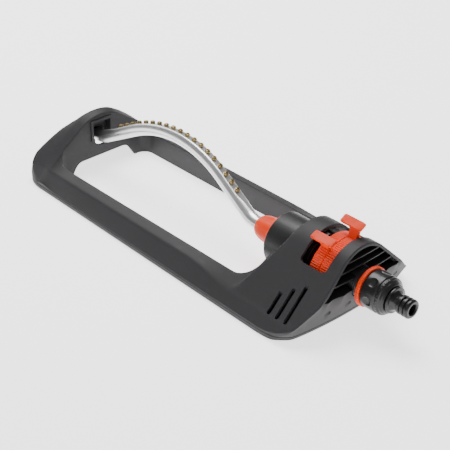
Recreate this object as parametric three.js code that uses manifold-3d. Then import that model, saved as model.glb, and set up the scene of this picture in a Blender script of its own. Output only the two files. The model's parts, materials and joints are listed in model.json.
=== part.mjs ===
// Oscillating lawn sprinkler: a spray tube swung by a small water motor in an open base frame.
// Millimetres, +Z up, +X towards the hose inlet. All round pieces share one axis along X.
import * as THREE from 'three';
import { mergeVertices } from 'three/addons/utils/BufferGeometryUtils.js';
import Module from 'manifold-3d';

const wasm = await Module();
wasm.setup();

// ---------------------------------------------------------------- driving sizes
const AXIS_Z = 36;              // height of the common axis above the ground
const GAP = 0.3;                // clearance between pieces that touch
const WALL = 2.8;               // wall of the base frame
const RAIL_IN = 55.5;           // half width of the open middle
const RAIL_TOP = 24.2;          // height of the rail at its inner edge
const CREASE_Y = 66.6;          // half width at the crease between rail top and flank
const CREASE_Z = 21.2;
const SIDE_Y = 79.4;            // half width at the ground, at the front
const LIP_Z = 6;                // height of the upright lip along the ground edge
const REAR_FLARE = 0.66;        // flank width at the back wall as a share of the front one
const REAR_X = -36;             // back edge of the base; x = 0 is the face of the back wall
const REAR_CORNER = 28;         // corner radius of the base at the back
const OPENING_FRONT = 274;      // front end of the open middle
const OPENING_R_FRONT = 18;
const OPENING_R_REAR = 11;
const FRONT_FOOT = 343.5;       // front edge at the ground, on the centre line
const FRONT_SILL = 357.5;       // front edge at the sill
const FRONT_TOP = 352.5;        // front edge at the top of the hood
const FRONT_CORNER_X = 320;     // where the plan starts to turn to the front
const FRONT_BOW_R = 450;        // plan radius of the bowed front
const SILL_Z = 35.2;
const HOOD_R = 34.8;            // radius of the hood over the range rings
const HOOD_TOP = AXIS_Z + HOOD_R;
const ARCH_TOP = 63.8;          // top of the rear arch
const HOLE_R = 9.6;             // hole in the back wall for the tube end
const RECESS_HALF = 10.5;       // recess above that hole
const RECESS_DEPTH = 7;
const RECESS_TOP = 53;
const FINGER_TOP = 15.5;        // finger gap under the rear arch
const FINGER_HALF_TOP = 28;
const FINGER_HALF_FOOT = 41;
const CREST_X = -10;            // ridge of the rear arch
const BEVEL_FOOT = 40;          // height at which the bevel in front of the ridge starts
const BEVEL_DROP = 3.4;         // fall of that bevel at the top of the arch
const WINDOW_X0 = 312.4;        // window for the range tabs
const WINDOW_X1 = 341.4;
const WINDOW_Z = 50.4;
const SLOT_X = [314, 323.5, 333];
const SLOT_TOP_Z = [31.6, 37.2, 42];
const SLOT_WIDTH = 3.8;
const SLOT_FOOT_Y = SIDE_Y - 9.4;
const TUBE_R = 6.6;
const TUBE_WALL = 1;
const TUBE_FLAT = 4.8;            // height of the flat top above the tube's centre line
const TUBE_REAR = -8;
const TUBE_FRONT = 240;
const BOW_REAR = -5;            // where the tube's first bend starts
const BOW_FRONT = 230;
const BEND_R = 32;
const BEND_DEG = 27.6;
const CREST = 39.6;             // rise of the tube's centre line at its crest
const TILT_DEG = 12.5;          // lean of the tube at rest, towards +Y
const NOZZLES = 19;
const NOZZLE_PITCH = 9.65;
const NOZZLE_R = 2.4;
const NOZZLE_STEM_R = 1.4;
const MOTOR_R = 25;
const MOTOR_X0 = 261.7;
const MOTOR_X1 = 309;
const MOTOR_WALL = 2.5;
const SHAFT_R = 7;
const SHAFT_BORE = 4.8;
const STEM_R = 10;              // inlet stem that carries the range rings
const THREAD_R = 13.1;          // hose thread at the end of the stem
const STEM_END = 379.5;
const RING_R = 32;
const RING_IN = 28.4;
const RING_WIDTH = 10.2;
const RING_X = [320.4, 330.9];
const TAB_DEG = [-27, 13];      // tab angles from upright, towards +Y
const TAB_TOP_R = [HOOD_R + 5.7, HOOD_R + 9.2];
const TAB_TILT_DEG = [-5, 42];  // tilt of each finger plate against its own arm
const OUTPUT_TEETH = 20;
const IDLER_TEETH = 10;
const GEAR_ROOM = 1.5;          // room between the idler's teeth and the motor's wall
const MODULE = (MOTOR_R - MOTOR_WALL - GEAR_ROOM) / (OUTPUT_TEETH / 2 + IDLER_TEETH + 1);
const PINION_TEETH = 8;
const WHEEL_TEETH = 16;
const NUT_R = 17;
const NUT_X0 = 365.2;
const NUT_X1 = 387.4;
const TIP_X = 408;
const MID_X = (REAR_X + TIP_X) / 2;
const ROUND = 36;               // sides of a large round piece
const SMALL = 20;               // sides of a small round piece
const TINY = 12;

// ---------------------------------------------------------------- colours
const finish = {
  shell: { color: 0x3d3c40, roughness: 0.55, metalness: 0 },
  black: { color: 0x17171a, roughness: 0.3, metalness: 0 },
  dark: { color: 0x2b2b2e, roughness: 0.45, metalness: 0 },
  orange: { color: 0xff5a1e, roughness: 0.4, metalness: 0 },
  nylon: { color: 0xd9d6cd, roughness: 0.5, metalness: 0 },
  alu: { color: 0xc9cbce, roughness: 0.25, metalness: 1 },
  brass: { color: 0xb08d4a, roughness: 0.35, metalness: 1 },
  steel: { color: 0xa8aaad, roughness: 0.3, metalness: 1 },
  rubber: { color: 0x121212, roughness: 0.8, metalness: 0 },
};

// ---------------------------------------------------------------- tools
const group = new THREE.Group();
group.name = 'lawn_sprinkler';

const X_AXIS = new THREE.Vector3(1, 0, 0);
const Y_AXIS = new THREE.Vector3(0, 1, 0);
const Z_AXIS = new THREE.Vector3(0, 0, 1);

function basis(a, b, c) {
  return new THREE.Matrix4().makeBasis(a, b, c);
}

// shape (y, z) carried along X
const ALONG_X = basis(Y_AXIS, Z_AXIS, X_AXIS);
// shape (x, z) carried along -Y
const ALONG_Y = basis(X_AXIS, Z_AXIS, Y_AXIS.clone().negate());
// lathe about X: profile points are (radius, x)
const LATHE_X = basis(Y_AXIS.clone().negate(), X_AXIS, Z_AXIS);
// lathe about Z: profile points are (radius, z)
const LATHE_Z = basis(X_AXIS, Z_AXIS, Y_AXIS.clone().negate());

function solid(geometry) {
  const bare = geometry.clone();
  bare.deleteAttribute('normal');
  bare.deleteAttribute('uv');
  const merged = mergeVertices(bare, 1e-4);
  const index = merged.index.array;
  const kept = [];
  for (let i = 0; i < index.length; i += 3) {
    const [a, b, c] = [index[i], index[i + 1], index[i + 2]];
    if (a !== b && b !== c && c !== a) {
      kept.push(a, b, c);
    }
  }
  const vertProperties = new Float32Array(merged.attributes.position.array);
  const closed = (corners) => new wasm.Manifold(
    new wasm.Mesh({ numProp: 3, vertProperties, triVerts: new Uint32Array(corners) }));
  const made = closed(kept);
  // a profile given clockwise comes out inside out, so its faces are turned round
  return made.volume() > 0 ? made : closed(kept.reverse());
}

function place(geometry, matrix, x = 0, y = 0, z = 0) {
  geometry.applyMatrix4(matrix);
  geometry.translate(x, y, z);
  return solid(geometry);
}

function shapeOf(points, holes = []) {
  const shape = new THREE.Shape(points.map(([a, b]) => new THREE.Vector2(a, b)));
  for (const hole of holes) {
    shape.holes.push(new THREE.Path(hole.map(([a, b]) => new THREE.Vector2(a, b))));
  }
  return shape;
}

function extrude(shape, depth, steps = 1) {
  return new THREE.ExtrudeGeometry(shape, { depth, bevelEnabled: false, steps, curveSegments: 10 });
}

function prismX(points, x0, x1, holes = [], steps = 1) {
  return place(extrude(shapeOf(points, holes), x1 - x0, steps), ALONG_X, x0);
}

function prismY(points, y0, y1) {
  return place(extrude(shapeOf(points), y1 - y0), ALONG_Y, 0, y1);
}

function prismZ(points, z0, z1) {
  return place(extrude(shapeOf(points), z1 - z0), new THREE.Matrix4(), 0, 0, z0);
}

// turned piece about the common axis: profile is a closed list of [radius, x]
function turned(profile, sides = ROUND) {
  const points = profile.map(([r, x]) => new THREE.Vector2(r, x));
  return place(new THREE.LatheGeometry(points, sides), LATHE_X, 0, 0, AXIS_Z);
}

// solid disc or rod about the common axis
function disc(r, x0, x1, sides = ROUND) {
  return turned([[0, x0], [r, x0], [r, x1], [0, x1]], sides);
}

// ring about the common axis
function ring(r0, r1, x0, x1, sides = ROUND) {
  return turned([[r0, x0], [r0, x1], [r1, x1], [r1, x0], [r0, x0]], sides);
}

// rod along X away from the common axis
function rodX(r, x0, x1, y, z, sides = TINY) {
  return disc(r, x0, x1, sides).translate([0, y, z]);
}

// rod along Z
function rodZ(r, z0, z1, x, y, sides = TINY) {
  const points = [[0, z0], [r, z0], [r, z1], [0, z1]].map(([a, b]) => new THREE.Vector2(a, b));
  return place(new THREE.LatheGeometry(points, sides), LATHE_Z, x, y);
}

function box(x0, x1, y0, y1, z0, z1) {
  const geometry = new THREE.BoxGeometry(x1 - x0, y1 - y0, z1 - z0);
  geometry.translate((x0 + x1) / 2, (y0 + y1) / 2, (z0 + z1) / 2);
  return solid(geometry);
}

// rotation about the common axis; positive moves the top towards +Y
function swing(piece, degrees) {
  return piece.translate([0, 0, -AXIS_Z]).rotate([-degrees, 0, 0]).translate([0, 0, AXIS_Z]);
}

// moves every side of a polygon inwards by d; the points run anticlockwise
function inset(points, d) {
  const lines = points.map((p, i) => {
    const q = points[(i + 1) % points.length];
    const length = Math.hypot(q[0] - p[0], q[1] - p[1]);
    const [nx, ny] = [-(q[1] - p[1]) / length, (q[0] - p[0]) / length];
    return [nx, ny, nx * p[0] + ny * p[1] + d];
  });
  return lines.map((b, i) => {
    const a = lines[(i + lines.length - 1) % lines.length];
    const det = a[0] * b[1] - a[1] * b[0];
    return [(a[2] * b[1] - a[1] * b[2]) / det, (a[0] * b[2] - a[2] * b[0]) / det];
  });
}

function add(name, piece, look) {
  const mesh = piece.getMesh();
  const geometry = new THREE.BufferGeometry();
  geometry.setAttribute('position', new THREE.BufferAttribute(new Float32Array(mesh.vertProperties), 3));
  geometry.setIndex(new THREE.BufferAttribute(new Uint32Array(mesh.triVerts), 1));
  geometry.translate(-MID_X, 0, 0);
  geometry.computeVertexNormals();
  const out = new THREE.Mesh(geometry, new THREE.MeshStandardMaterial(look));
  out.name = name;
  group.add(out);
}

// ---------------------------------------------------------------- base frame
function railSection(foot) {
  return [[RAIL_IN, foot], [SIDE_Y, foot], [SIDE_Y, LIP_Z], [CREASE_Y, CREASE_Z], [RAIL_IN, RAIL_TOP]];
}

// the hood's round top meets the straight wings at this point
const SHOULDER_Y = HOOD_R * Math.SQRT1_2;
const SHOULDER_Z = AXIS_Z + SHOULDER_Y;

// height of a wing's outer face at a distance from the middle, and the other way round
const wingSlope = (SHOULDER_Z - LIP_Z) / (SIDE_Y - SHOULDER_Y);
const wingHeight = (y) => LIP_Z + (SIDE_Y - Math.abs(y)) * wingSlope;
const wingReach = (z) => SIDE_Y - (z - LIP_Z) / wingSlope;

// hood over the motor with a straight wing down each side
function wingSection(foot) {
  const half = [[SIDE_Y, foot], [SIDE_Y, LIP_Z]];
  const arcs = 7;
  for (let i = 0; i <= arcs; i += 1) {
    const a = Math.PI / 4 * (1 - i / arcs);
    half.push([HOOD_R * Math.sin(a), AXIS_Z + HOOD_R * Math.cos(a)]);
  }
  return half.concat(half.slice(0, -1).reverse().map(([y, z]) => [-y, z]));
}

function wingSide(foot) {
  const front = FRONT_SILL + 30;
  return [
    [OPENING_FRONT - 1, foot], [front, foot], [front, HOOD_TOP + 5], [294, HOOD_TOP + 5],
    [290, 58.5], [284, 44.5], [OPENING_FRONT - 1, RAIL_TOP - 0.6],
  ];
}

function archSection(foot) {
  const half = [
    [SIDE_Y, foot], [SIDE_Y, 7], [70, 16.7], [57, 29.5], [44, 41.5], [32, 51], [18, 60], [8, 63.2],
  ];
  return half.concat([[0, ARCH_TOP]], half.slice().reverse().map(([y, z]) => [-y, z]));
}

// side view of the arch: straight up at the back wall, round over the back
function archSide(foot) {
  return [
    [REAR_X, foot], [1, foot], [1, ARCH_TOP + 5], [CREST_X + 0.5, ARCH_TOP + 5], [CREST_X - 4, ARCH_TOP - 4.3],
    [REAR_X + 13, 49], [REAR_X + 8.7, 41], [REAR_X + 5, 33.5], [REAR_X + 2, 25], [REAR_X, 10],
  ];
}

// in front of the ridge the arch's top falls a little to the back wall's face
function bevelled(piece) {
  return piece.warp((v) => {
    if (v[0] > CREST_X && v[2] > BEVEL_FOOT) {
      v[2] -= BEVEL_DROP * (v[2] - BEVEL_FOOT) / (ARCH_TOP - BEVEL_FOOT) * (1 - v[0] / CREST_X);
    }
  });
}

function planOutline() {
  const shape = new THREE.Shape();
  const far = FRONT_SILL + 20;
  const [cornerX, cornerEnd] = [FRONT_SILL - 6.5, SIDE_Y - 31.4];
  shape.moveTo(REAR_X, -SIDE_Y + REAR_CORNER);
  shape.absarc(REAR_X + REAR_CORNER, -SIDE_Y + REAR_CORNER, REAR_CORNER, Math.PI, Math.PI * 1.5, false);
  shape.lineTo(FRONT_CORNER_X, -SIDE_Y);
  shape.quadraticCurveTo(cornerX, -SIDE_Y, cornerX + 6, -cornerEnd);
  shape.lineTo(far, -cornerEnd + 4);
  shape.lineTo(far, cornerEnd - 4);
  shape.lineTo(cornerX + 6, cornerEnd);
  shape.quadraticCurveTo(cornerX, SIDE_Y, FRONT_CORNER_X, SIDE_Y);
  shape.absarc(REAR_X + REAR_CORNER, SIDE_Y - REAR_CORNER, REAR_CORNER, Math.PI / 2, Math.PI, false);
  return shape.getPoints(8).slice(0, -1).map((p) => [p.x, p.y]);
}

function openingOutline(grow) {
  const [x0, x1, y] = [-grow, OPENING_FRONT + grow, RAIL_IN + grow];
  const [r0, r1] = [OPENING_R_REAR + grow, OPENING_R_FRONT + grow];
  const shape = new THREE.Shape();
  shape.moveTo(x0 + r0, -y);
  shape.lineTo(x1 - r1, -y);
  shape.absarc(x1 - r1, -y + r1, r1, -Math.PI / 2, 0, false);
  shape.lineTo(x1, y - r1);
  shape.absarc(x1 - r1, y - r1, r1, 0, Math.PI / 2, false);
  shape.lineTo(x0 + r0, y);
  shape.absarc(x0 + r0, y - r0, r0, Math.PI / 2, Math.PI, false);
  shape.lineTo(x0, -y + r0);
  shape.absarc(x0 + r0, -y + r0, r0, Math.PI, Math.PI * 1.5, false);
  const points = shape.getPoints(6).map((p) => [p.x, p.y]);
  return points.filter((p, i) => {
    const q = points[(i + 1) % points.length];
    return Math.hypot(p[0] - q[0], p[1] - q[1]) > 1e-6;
  });
}

// everything behind the bowed, leaning front face
function behindFront(back) {
  const c = FRONT_FOOT - FRONT_BOW_R;
  const top = HOOD_TOP + 10;
  const low = -20;
  const footX = FRONT_FOOT + (FRONT_SILL - FRONT_FOOT) * low / SILL_Z;
  const topX = FRONT_SILL + (FRONT_TOP - FRONT_SILL) * (top - SILL_Z) / (HOOD_TOP - SILL_Z);
  const profile = [
    [0, low], [footX - c - back, low], [FRONT_SILL - c - back, SILL_Z], [topX - c - back, top], [0, top]];
  const points = profile.map(([r, z]) => new THREE.Vector2(r, z));
  return place(new THREE.LatheGeometry(points, 160), LATHE_Z, c);
}

// narrows the flanks towards the back
function flare(piece) {
  return piece.warp((v) => {
    const side = Math.abs(v[1]) - CREASE_Y;
    if (side > 0) {
      const share = REAR_FLARE + (1 - REAR_FLARE) * v[0] / FRONT_CORNER_X;
      v[1] = Math.sign(v[1]) * (CREASE_Y + side * Math.min(share, 1));
    }
  });
}

const DEEP = -12;
const outline = planOutline();
const railFront = OPENING_FRONT - 4;
const rails = (points, x0, x1) => prismX(points, x0, x1)
  .add(prismX(points.map(([y, z]) => [-y, z]).reverse(), x0, x1));
const recessBox = (grow) => box(
  -RECESS_DEPTH - grow, 6, -RECESS_HALF - grow, RECESS_HALF + grow, AXIS_Z - grow * 3, RECESS_TOP + grow);
const fingerHalf = [
  [FINGER_HALF_FOOT, DEEP], [FINGER_HALF_FOOT, 0], [FINGER_HALF_TOP + 5, FINGER_TOP - 3], [FINGER_HALF_TOP, FINGER_TOP]];
const fingerGap = prismX(
  fingerHalf.concat(fingerHalf.slice().reverse().map(([y, z]) => [-y, z])), REAR_X - 5, 3);

function frameBody(thickness) {
  const foot = thickness > 0 ? DEEP * 2 : 0;
  const d = thickness;
  const side = prismX(inset(wingSection(foot), d), OPENING_FRONT - 8, FRONT_SILL + 15)
    .intersect(prismY(inset(wingSide(foot), d), -100, 100))
    .intersect(behindFront(d));
  const steps = 18;
  const rail = inset(railSection(foot), d);
  const arch = bevelled(prismX(inset(archSection(foot), d), REAR_X, -d, [], steps))
    .add(rails(rail, REAR_X, -d))
    .intersect(prismY(inset(archSide(foot), d), -100, 100));
  return rails(rail, -d - 1, railFront + 6 + d)
    .add(arch)
    .add(side)
    .intersect(prismZ(inset(outline, d), DEEP * 3, 100));
}

const cavity = frameBody(WALL)
  .subtract(prismZ(openingOutline(WALL), DEEP * 3, 100))
  .subtract(recessBox(WALL));
const mouth = prismX(inset(wingSection(DEEP), WALL), 330, FRONT_SILL + 15)
  .intersect(box(320, FRONT_SILL + 20, -100, 100, SILL_Z, 100));
let frame = frameBody(0)
  .subtract(prismZ(openingOutline(0), DEEP, 100))
  .subtract(cavity)
  .subtract(mouth)
  .subtract(recessBox(0).intersect(box(-20, 10, -40, 40, AXIS_Z, 90)))
  .subtract(fingerGap)
  .subtract(disc(HOLE_R, -RECESS_DEPTH - WALL - 1, 5, 28))
  .subtract(disc(MOTOR_R + 1.3, MOTOR_X0 - 10, MOTOR_X1 - 8))
  .subtract(disc(THREAD_R + 0.8, FRONT_FOOT - 10, FRONT_SILL + 10))
  .subtract(box(WINDOW_X0, WINDOW_X1, -HOOD_R, HOOD_R, WINDOW_Z, HOOD_TOP + 5));

SLOT_X.forEach((x, i) => {
  const top = wingReach(SLOT_TOP_Z[i]);
  for (const s of [-1, 1]) {
    const [a, b] = [s * top, s * SLOT_FOOT_Y].sort((p, q) => p - q);
    frame = frame.subtract(box(x - SLOT_WIDTH / 2, x + SLOT_WIDTH / 2, a, b, LIP_Z + 1, 60));
  }
});

// posts for the four screws of the belly cover
const POSTS = [[290, 44], [290, -44], [326, 44], [326, -44]];
const POST_R = 3.6;
const COVER_Z0 = 1.6;
const COVER_Z1 = 3.4;
for (const [x, y] of POSTS) {
  frame = frame.add(rodZ(POST_R, COVER_Z1 + GAP, wingHeight(y) - POST_R - 1.6, x, y));
  frame = frame.subtract(rodZ(1.4, COVER_Z1 - 1, 16, x, y));
}
frame = flare(frame);
add('base_frame', frame, finish.shell);

// ---------------------------------------------------------------- front grille
const GRILLE_X = 343.6;
const grilleSlats = [SILL_Z + 10.4, SILL_Z + 19, SILL_Z + 26];
let grille = box(GRILLE_X, GRILLE_X + 2, -70, 70, SILL_Z + GAP, HOOD_TOP);
for (const z of grilleSlats) {
  grille = grille.add(box(GRILLE_X + 1, FRONT_SILL + 5, -70, 70, z - 0.7, z + 0.7));
}
grille = grille
  .intersect(prismX(inset(wingSection(DEEP), WALL + GAP), 330, FRONT_SILL + 15))
  .intersect(behindFront(0.8))
  .subtract(disc(THREAD_R + 0.8, GRILLE_X - 5, FRONT_SILL + 10));
add('front_grille', grille, finish.dark);

// ---------------------------------------------------------------- belly cover and screws
const COVER_Y = SIDE_Y - 9.4;
let cover = prismZ(
  [[282, -COVER_Y], [333, -COVER_Y], [333, COVER_Y], [282, COVER_Y]], COVER_Z0, COVER_Z1);
for (const [x, y] of POSTS) {
  cover = cover.subtract(rodZ(1.9, 0, 8, x, y));
}
add('belly_cover', cover, finish.shell);
POSTS.forEach(([x, y], i) => {
  const screw = rodZ(3.2, 0.3, COVER_Z0 - GAP, x, y)
    .add(rodZ(1.1, 0.5, 13, x, y));
  add(`cover_screw_${i + 1}`, screw, finish.steel);
});

// ---------------------------------------------------------------- rear bearing
const PIN_R = 3;
const BEARING_X1 = -RECESS_DEPTH - WALL - GAP;
const bearing = box(BEARING_X1 - 3.4, BEARING_X1, -9, 9, AXIS_Z - 6.5, AXIS_Z + 13)
  .subtract(disc(PIN_R + GAP, -30, 0, SMALL));
add('rear_bearing', bearing, finish.nylon);

// ---------------------------------------------------------------- spray tube
const bend = BEND_DEG * Math.PI / 180;
const bowMiddle = (BOW_REAR + BOW_FRONT) / 2;
const bendRise = BEND_R * (1 - Math.cos(bend));
const bendRun = BEND_R * Math.sin(bend);

// radius of the wide bend that brings the crest to the stated height
function crestRadius() {
  const run = bowMiddle - BOW_REAR - bendRun;
  const rise = CREST - bendRise;
  return (run * Math.tan(bend) - rise) / (Math.sin(bend) * Math.tan(bend) - 1 + Math.cos(bend));
}

function tubePath() {
  const r = crestRadius();
  const path = new THREE.Path();
  const up = Math.PI / 2;
  path.moveTo(TUBE_REAR, 0);
  path.lineTo(BOW_REAR, 0);
  path.absarc(BOW_REAR, BEND_R, BEND_R, -up, -up + bend, false);
  path.absarc(bowMiddle, CREST - r, r, up + bend, up - bend, true);
  path.absarc(BOW_FRONT, BEND_R, BEND_R, -up - bend, -up, false);
  path.lineTo(TUBE_FRONT, 0);
  const points = path.getSpacedPoints(60).map((p) => new THREE.Vector3(p.x, p.y, 0));
  return new THREE.CatmullRomCurve3(points);
}

// round section with a flat on top; the second coordinate points up
function tubeSection(r, flat) {
  const half = Math.acos(flat / r);
  const sides = 12;
  const points = [];
  for (let i = 0; i <= sides; i += 1) {
    const a = Math.PI / 2 + half + (2 * Math.PI - 2 * half) * i / sides;
    points.push([r * Math.cos(a), r * Math.sin(a)]);
  }
  return points;
}

const path = tubePath();
const tubeShape = shapeOf(
  tubeSection(TUBE_R, TUBE_FLAT),
  [tubeSection(TUBE_R - TUBE_WALL, TUBE_FLAT - TUBE_WALL)]);
const tubeBlank = new THREE.ExtrudeGeometry(tubeShape, { steps: 36, bevelEnabled: false, extrudePath: path });
let tube = solid(tubeBlank).rotate([90, 0, 0]);

const nozzleProfile = [
  [0.5, TUBE_FLAT - 1.9], [NOZZLE_STEM_R, TUBE_FLAT - 1.9], [NOZZLE_STEM_R, TUBE_FLAT + 0.25],
  [NOZZLE_R, TUBE_FLAT + 0.25], [NOZZLE_R, TUBE_FLAT + 1.6], [NOZZLE_R - 0.7, TUBE_FLAT + 2.2],
  [0.5, TUBE_FLAT + 2.2], [0.5, TUBE_FLAT - 1.9],
].map(([r, z]) => new THREE.Vector2(r, z));
const pathLength = path.getLength();
const crestAt = (pathLength + (BOW_REAR - TUBE_REAR) - (TUBE_FRONT - BOW_FRONT)) / 2;
const nozzles = [];
for (let i = 0; i < NOZZLES; i += 1) {
  const u = (crestAt + (i - (NOZZLES - 1) / 2) * NOZZLE_PITCH) / pathLength;
  const at = path.getPointAt(u);
  const along = path.getTangentAt(u);
  const slope = Math.atan2(along.y, along.x) * 180 / Math.PI;
  const set = (piece) => piece.rotate([0, -slope, 0]).translate([at.x, 0, at.y]);
  tube = tube.subtract(set(rodZ(NOZZLE_STEM_R + GAP, 2, 8, 0, 0, 8)));
  nozzles.push(set(place(new THREE.LatheGeometry(nozzleProfile, 8), LATHE_Z)));
}
const lean = (piece) => swing(piece.translate([0, 0, AXIS_Z]), TILT_DEG);
add('spray_tube', lean(tube), finish.alu);
nozzles.forEach((piece, i) => {
  add(`nozzle_${String(i + 1).padStart(2, '0')}`, lean(piece), finish.brass);
});

// plug that closes the back end of the tube and carries the pivot pin
const plug = turned([
  [0, TUBE_REAR + 8], [2.5, TUBE_REAR + 8], [2.5, TUBE_REAR - GAP], [5.6, TUBE_REAR - GAP],
  [5.6, BEARING_X1 + 0.6], [PIN_R, BEARING_X1 + 0.6], [PIN_R, BEARING_X1 - 5], [0, BEARING_X1 - 5],
], SMALL);
add('tube_plug', plug, finish.black);

// ---------------------------------------------------------------- collar and output shaft
const COLLAR_X0 = 232.5;
const COLLAR_X1 = 258.6;
const collar = turned([
  [TUBE_R + GAP, COLLAR_X0], [7.4, COLLAR_X0], [9.2, COLLAR_X0 + 2], [10.8, COLLAR_X0 + 6],
  [11.8, COLLAR_X0 + 12], [12.4, COLLAR_X1 - 4], [14, COLLAR_X1], [SHAFT_R + GAP, COLLAR_X1],
  [SHAFT_R + GAP, TUBE_FRONT + 1.5], [TUBE_R + GAP, TUBE_FRONT + 1.5], [TUBE_R + GAP, COLLAR_X0],
], 32);
add('tube_collar', collar, finish.orange);

function gearPoints(teeth) {
  const points = [];
  const pitch = 2 * Math.PI / teeth;
  const root = MODULE * (teeth / 2 - 1.15);
  const tip = MODULE * (teeth / 2 + 0.75);
  for (let i = 0; i < teeth; i += 1) {
    for (const [share, r] of [[-0.28, root], [-0.11, tip], [0.11, tip], [0.28, root]]) {
      const a = (i + share) * pitch;
      points.push([r * Math.cos(a), r * Math.sin(a)]);
    }
  }
  return points;
}

// gear about X, a tooth pointing at the stated angle from +Y towards +Z
function gear(teeth, x0, x1, degrees) {
  return prismX(gearPoints(teeth), x0, x1).rotate([degrees, 0, 0]).translate([0, 0, AXIS_Z]);
}

const OUTPUT_X0 = 265.4;
const OUTPUT_X1 = 271.4;
const output = gear(OUTPUT_TEETH, OUTPUT_X0, OUTPUT_X1, 90)
  .add(disc(SHAFT_R, TUBE_FRONT + 1.8, OUTPUT_X1 - 1, 32))
  .subtract(disc(SHAFT_BORE, TUBE_FRONT, OUTPUT_X1 + 1, SMALL));
add('output_shaft', output, finish.nylon);

add('rear_disc', ring(SHAFT_R + 0.5, MOTOR_R - 0.3, MOTOR_X0 - 2.1, MOTOR_X0 - GAP), finish.orange);
const seal = ring(SHAFT_R + 0.1 + GAP, SHAFT_R + 2.4, MOTOR_X0 + 0.6, MOTOR_X0 + 2.2, SMALL);
add('shaft_seal', seal, finish.rubber);

// ---------------------------------------------------------------- motor housing
const housing = turned([
  [SHAFT_R + 2.8, MOTOR_X0], [MOTOR_R - 0.8, MOTOR_X0], [MOTOR_R, MOTOR_X0 + 0.8], [MOTOR_R, MOTOR_X1],
  [MOTOR_R - MOTOR_WALL, MOTOR_X1], [MOTOR_R - MOTOR_WALL, MOTOR_X0 + MOTOR_WALL],
  [SHAFT_R + 2.8, MOTOR_X0 + MOTOR_WALL], [SHAFT_R + 2.8, MOTOR_X0],
]);
add('motor_housing', housing, finish.black);

const CORE_R = MOTOR_R - MOTOR_WALL - GAP;
const PLATE_X0 = 277;
const PLATE_X1 = 279.4;
const AXLE_R = 1.2;
const idlerReach = MODULE * (OUTPUT_TEETH + IDLER_TEETH) / 2;
const wheelReach = MODULE * (PINION_TEETH + WHEEL_TEETH) / 2;
const LEVER_Z = -13;
const gearPlate = disc(CORE_R, PLATE_X0, PLATE_X1)
  .subtract(disc(AXLE_R + GAP, PLATE_X0 - 2, PLATE_X1 + 2, TINY))
  .subtract(rodX(AXLE_R + GAP, PLATE_X0 - 2, PLATE_X1 + 2, 0, idlerReach))
  .subtract(rodX(AXLE_R + GAP, PLATE_X0 - 2, PLATE_X1 + 2, wheelReach, 0))
  .add(rodX(1.5, 273, PLATE_X0 + 1, 0, LEVER_Z));
add('gear_plate', gearPlate, finish.nylon);

const idler = gear(IDLER_TEETH, OUTPUT_X0 + 0.2, OUTPUT_X1 - 0.2, 270 + 180 / IDLER_TEETH)
  .translate([0, 0, idlerReach])
  .subtract(rodX(AXLE_R + GAP, OUTPUT_X0 - 2, OUTPUT_X1 + 2, 0, idlerReach));
add('idler_gear', idler, finish.nylon);
add('idler_axle', rodX(AXLE_R, MOTOR_X0 + MOTOR_WALL + GAP, PLATE_X1 - 0.2, 0, idlerReach), finish.steel);

// reversing lever on the post of the gear plate
const leverPoints = [[-3.6, LEVER_Z], [0, LEVER_Z - 3.6], [3.6, LEVER_Z], [2.2, -2], [6.5, 5.5], [4.6, 6.8],
  [0, 0.6], [-4.6, 6.8], [-6.5, 5.5], [-2.2, -2]];
const lever = prismX(leverPoints.map(([y, z]) => [y, z + AXIS_Z]), 273.4, 275.8)
  .subtract(rodX(1.5 + GAP, 270, 278, 0, LEVER_Z));
add('reversing_lever', lever, finish.nylon);

// ---------------------------------------------------------------- turbine stage
const TURBINE_X0 = 295.5;
const TURBINE_X1 = 303;
const hubR = MODULE * (PINION_TEETH / 2 - 1.15);
let turbine = gear(PINION_TEETH, 284.2, 291.2, 0)
  .add(disc(hubR, 290, TURBINE_X1, SMALL))
  .add(disc(17, TURBINE_X0, TURBINE_X0 + 1.6));
for (let i = 0; i < 10; i += 1) {
  turbine = turbine.add(
    box(TURBINE_X0 + 1, TURBINE_X1, -0.7, 0.7, AXIS_Z + 2.5, AXIS_Z + 17)
      .translate([0, 0, -AXIS_Z]).rotate([i * 36, 0, 0]).translate([0, 0, AXIS_Z]));
}
turbine = turbine.subtract(disc(AXLE_R + GAP, 280, 306, TINY));
add('turbine', turbine, finish.orange);
add('turbine_axle', disc(AXLE_R, PLATE_X0 + 0.2, 306.8, TINY), finish.steel);

const wheel = gear(WHEEL_TEETH, 284.6, 290.8, 180 + 180 / WHEEL_TEETH)
  .translate([0, wheelReach, 0])
  .subtract(rodX(AXLE_R + GAP, 280, 296, wheelReach, 0));
add('reduction_gear', wheel, finish.nylon);
add('reduction_axle', rodX(AXLE_R, PLATE_X0 + 0.2, 293, wheelReach, 0), finish.steel);

let jets = disc(CORE_R, 304.4, 307.4).subtract(disc(AXLE_R + GAP, 300, 310, TINY));
for (let i = 0; i < 4; i += 1) {
  const a = (i + 0.5) * Math.PI / 2;
  jets = jets.subtract(rodX(2.2, 300, 310, 13 * Math.cos(a), 13 * Math.sin(a)));
}
add('jet_plate', jets, finish.nylon);

// ---------------------------------------------------------------- inlet stem
const CAP_X0 = MOTOR_X1 + GAP;
const CAP_X1 = 311.8;
const stem = turned([
  [6.5, CAP_X0], [6.5, 346], [9.6, 350], [9.6, STEM_END], [THREAD_R, STEM_END],
  [THREAD_R, 342.2], [STEM_R, 342.2], [STEM_R, CAP_X1], [MOTOR_R, CAP_X1], [MOTOR_R, CAP_X0], [6.5, CAP_X0],
]);
add('inlet_stem', stem, finish.black);

// trip arm that swings with the tube and meets the range rings
const tripArm = ring(STEM_R + GAP, 14, CAP_X1 + GAP, 317.4, 28)
  .add(swing(box(CAP_X1 + 1.2, 317.4, -3.6, 3.6, AXIS_Z + 12, AXIS_Z + 30.5), -8));
add('trip_arm', tripArm, finish.nylon);

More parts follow.
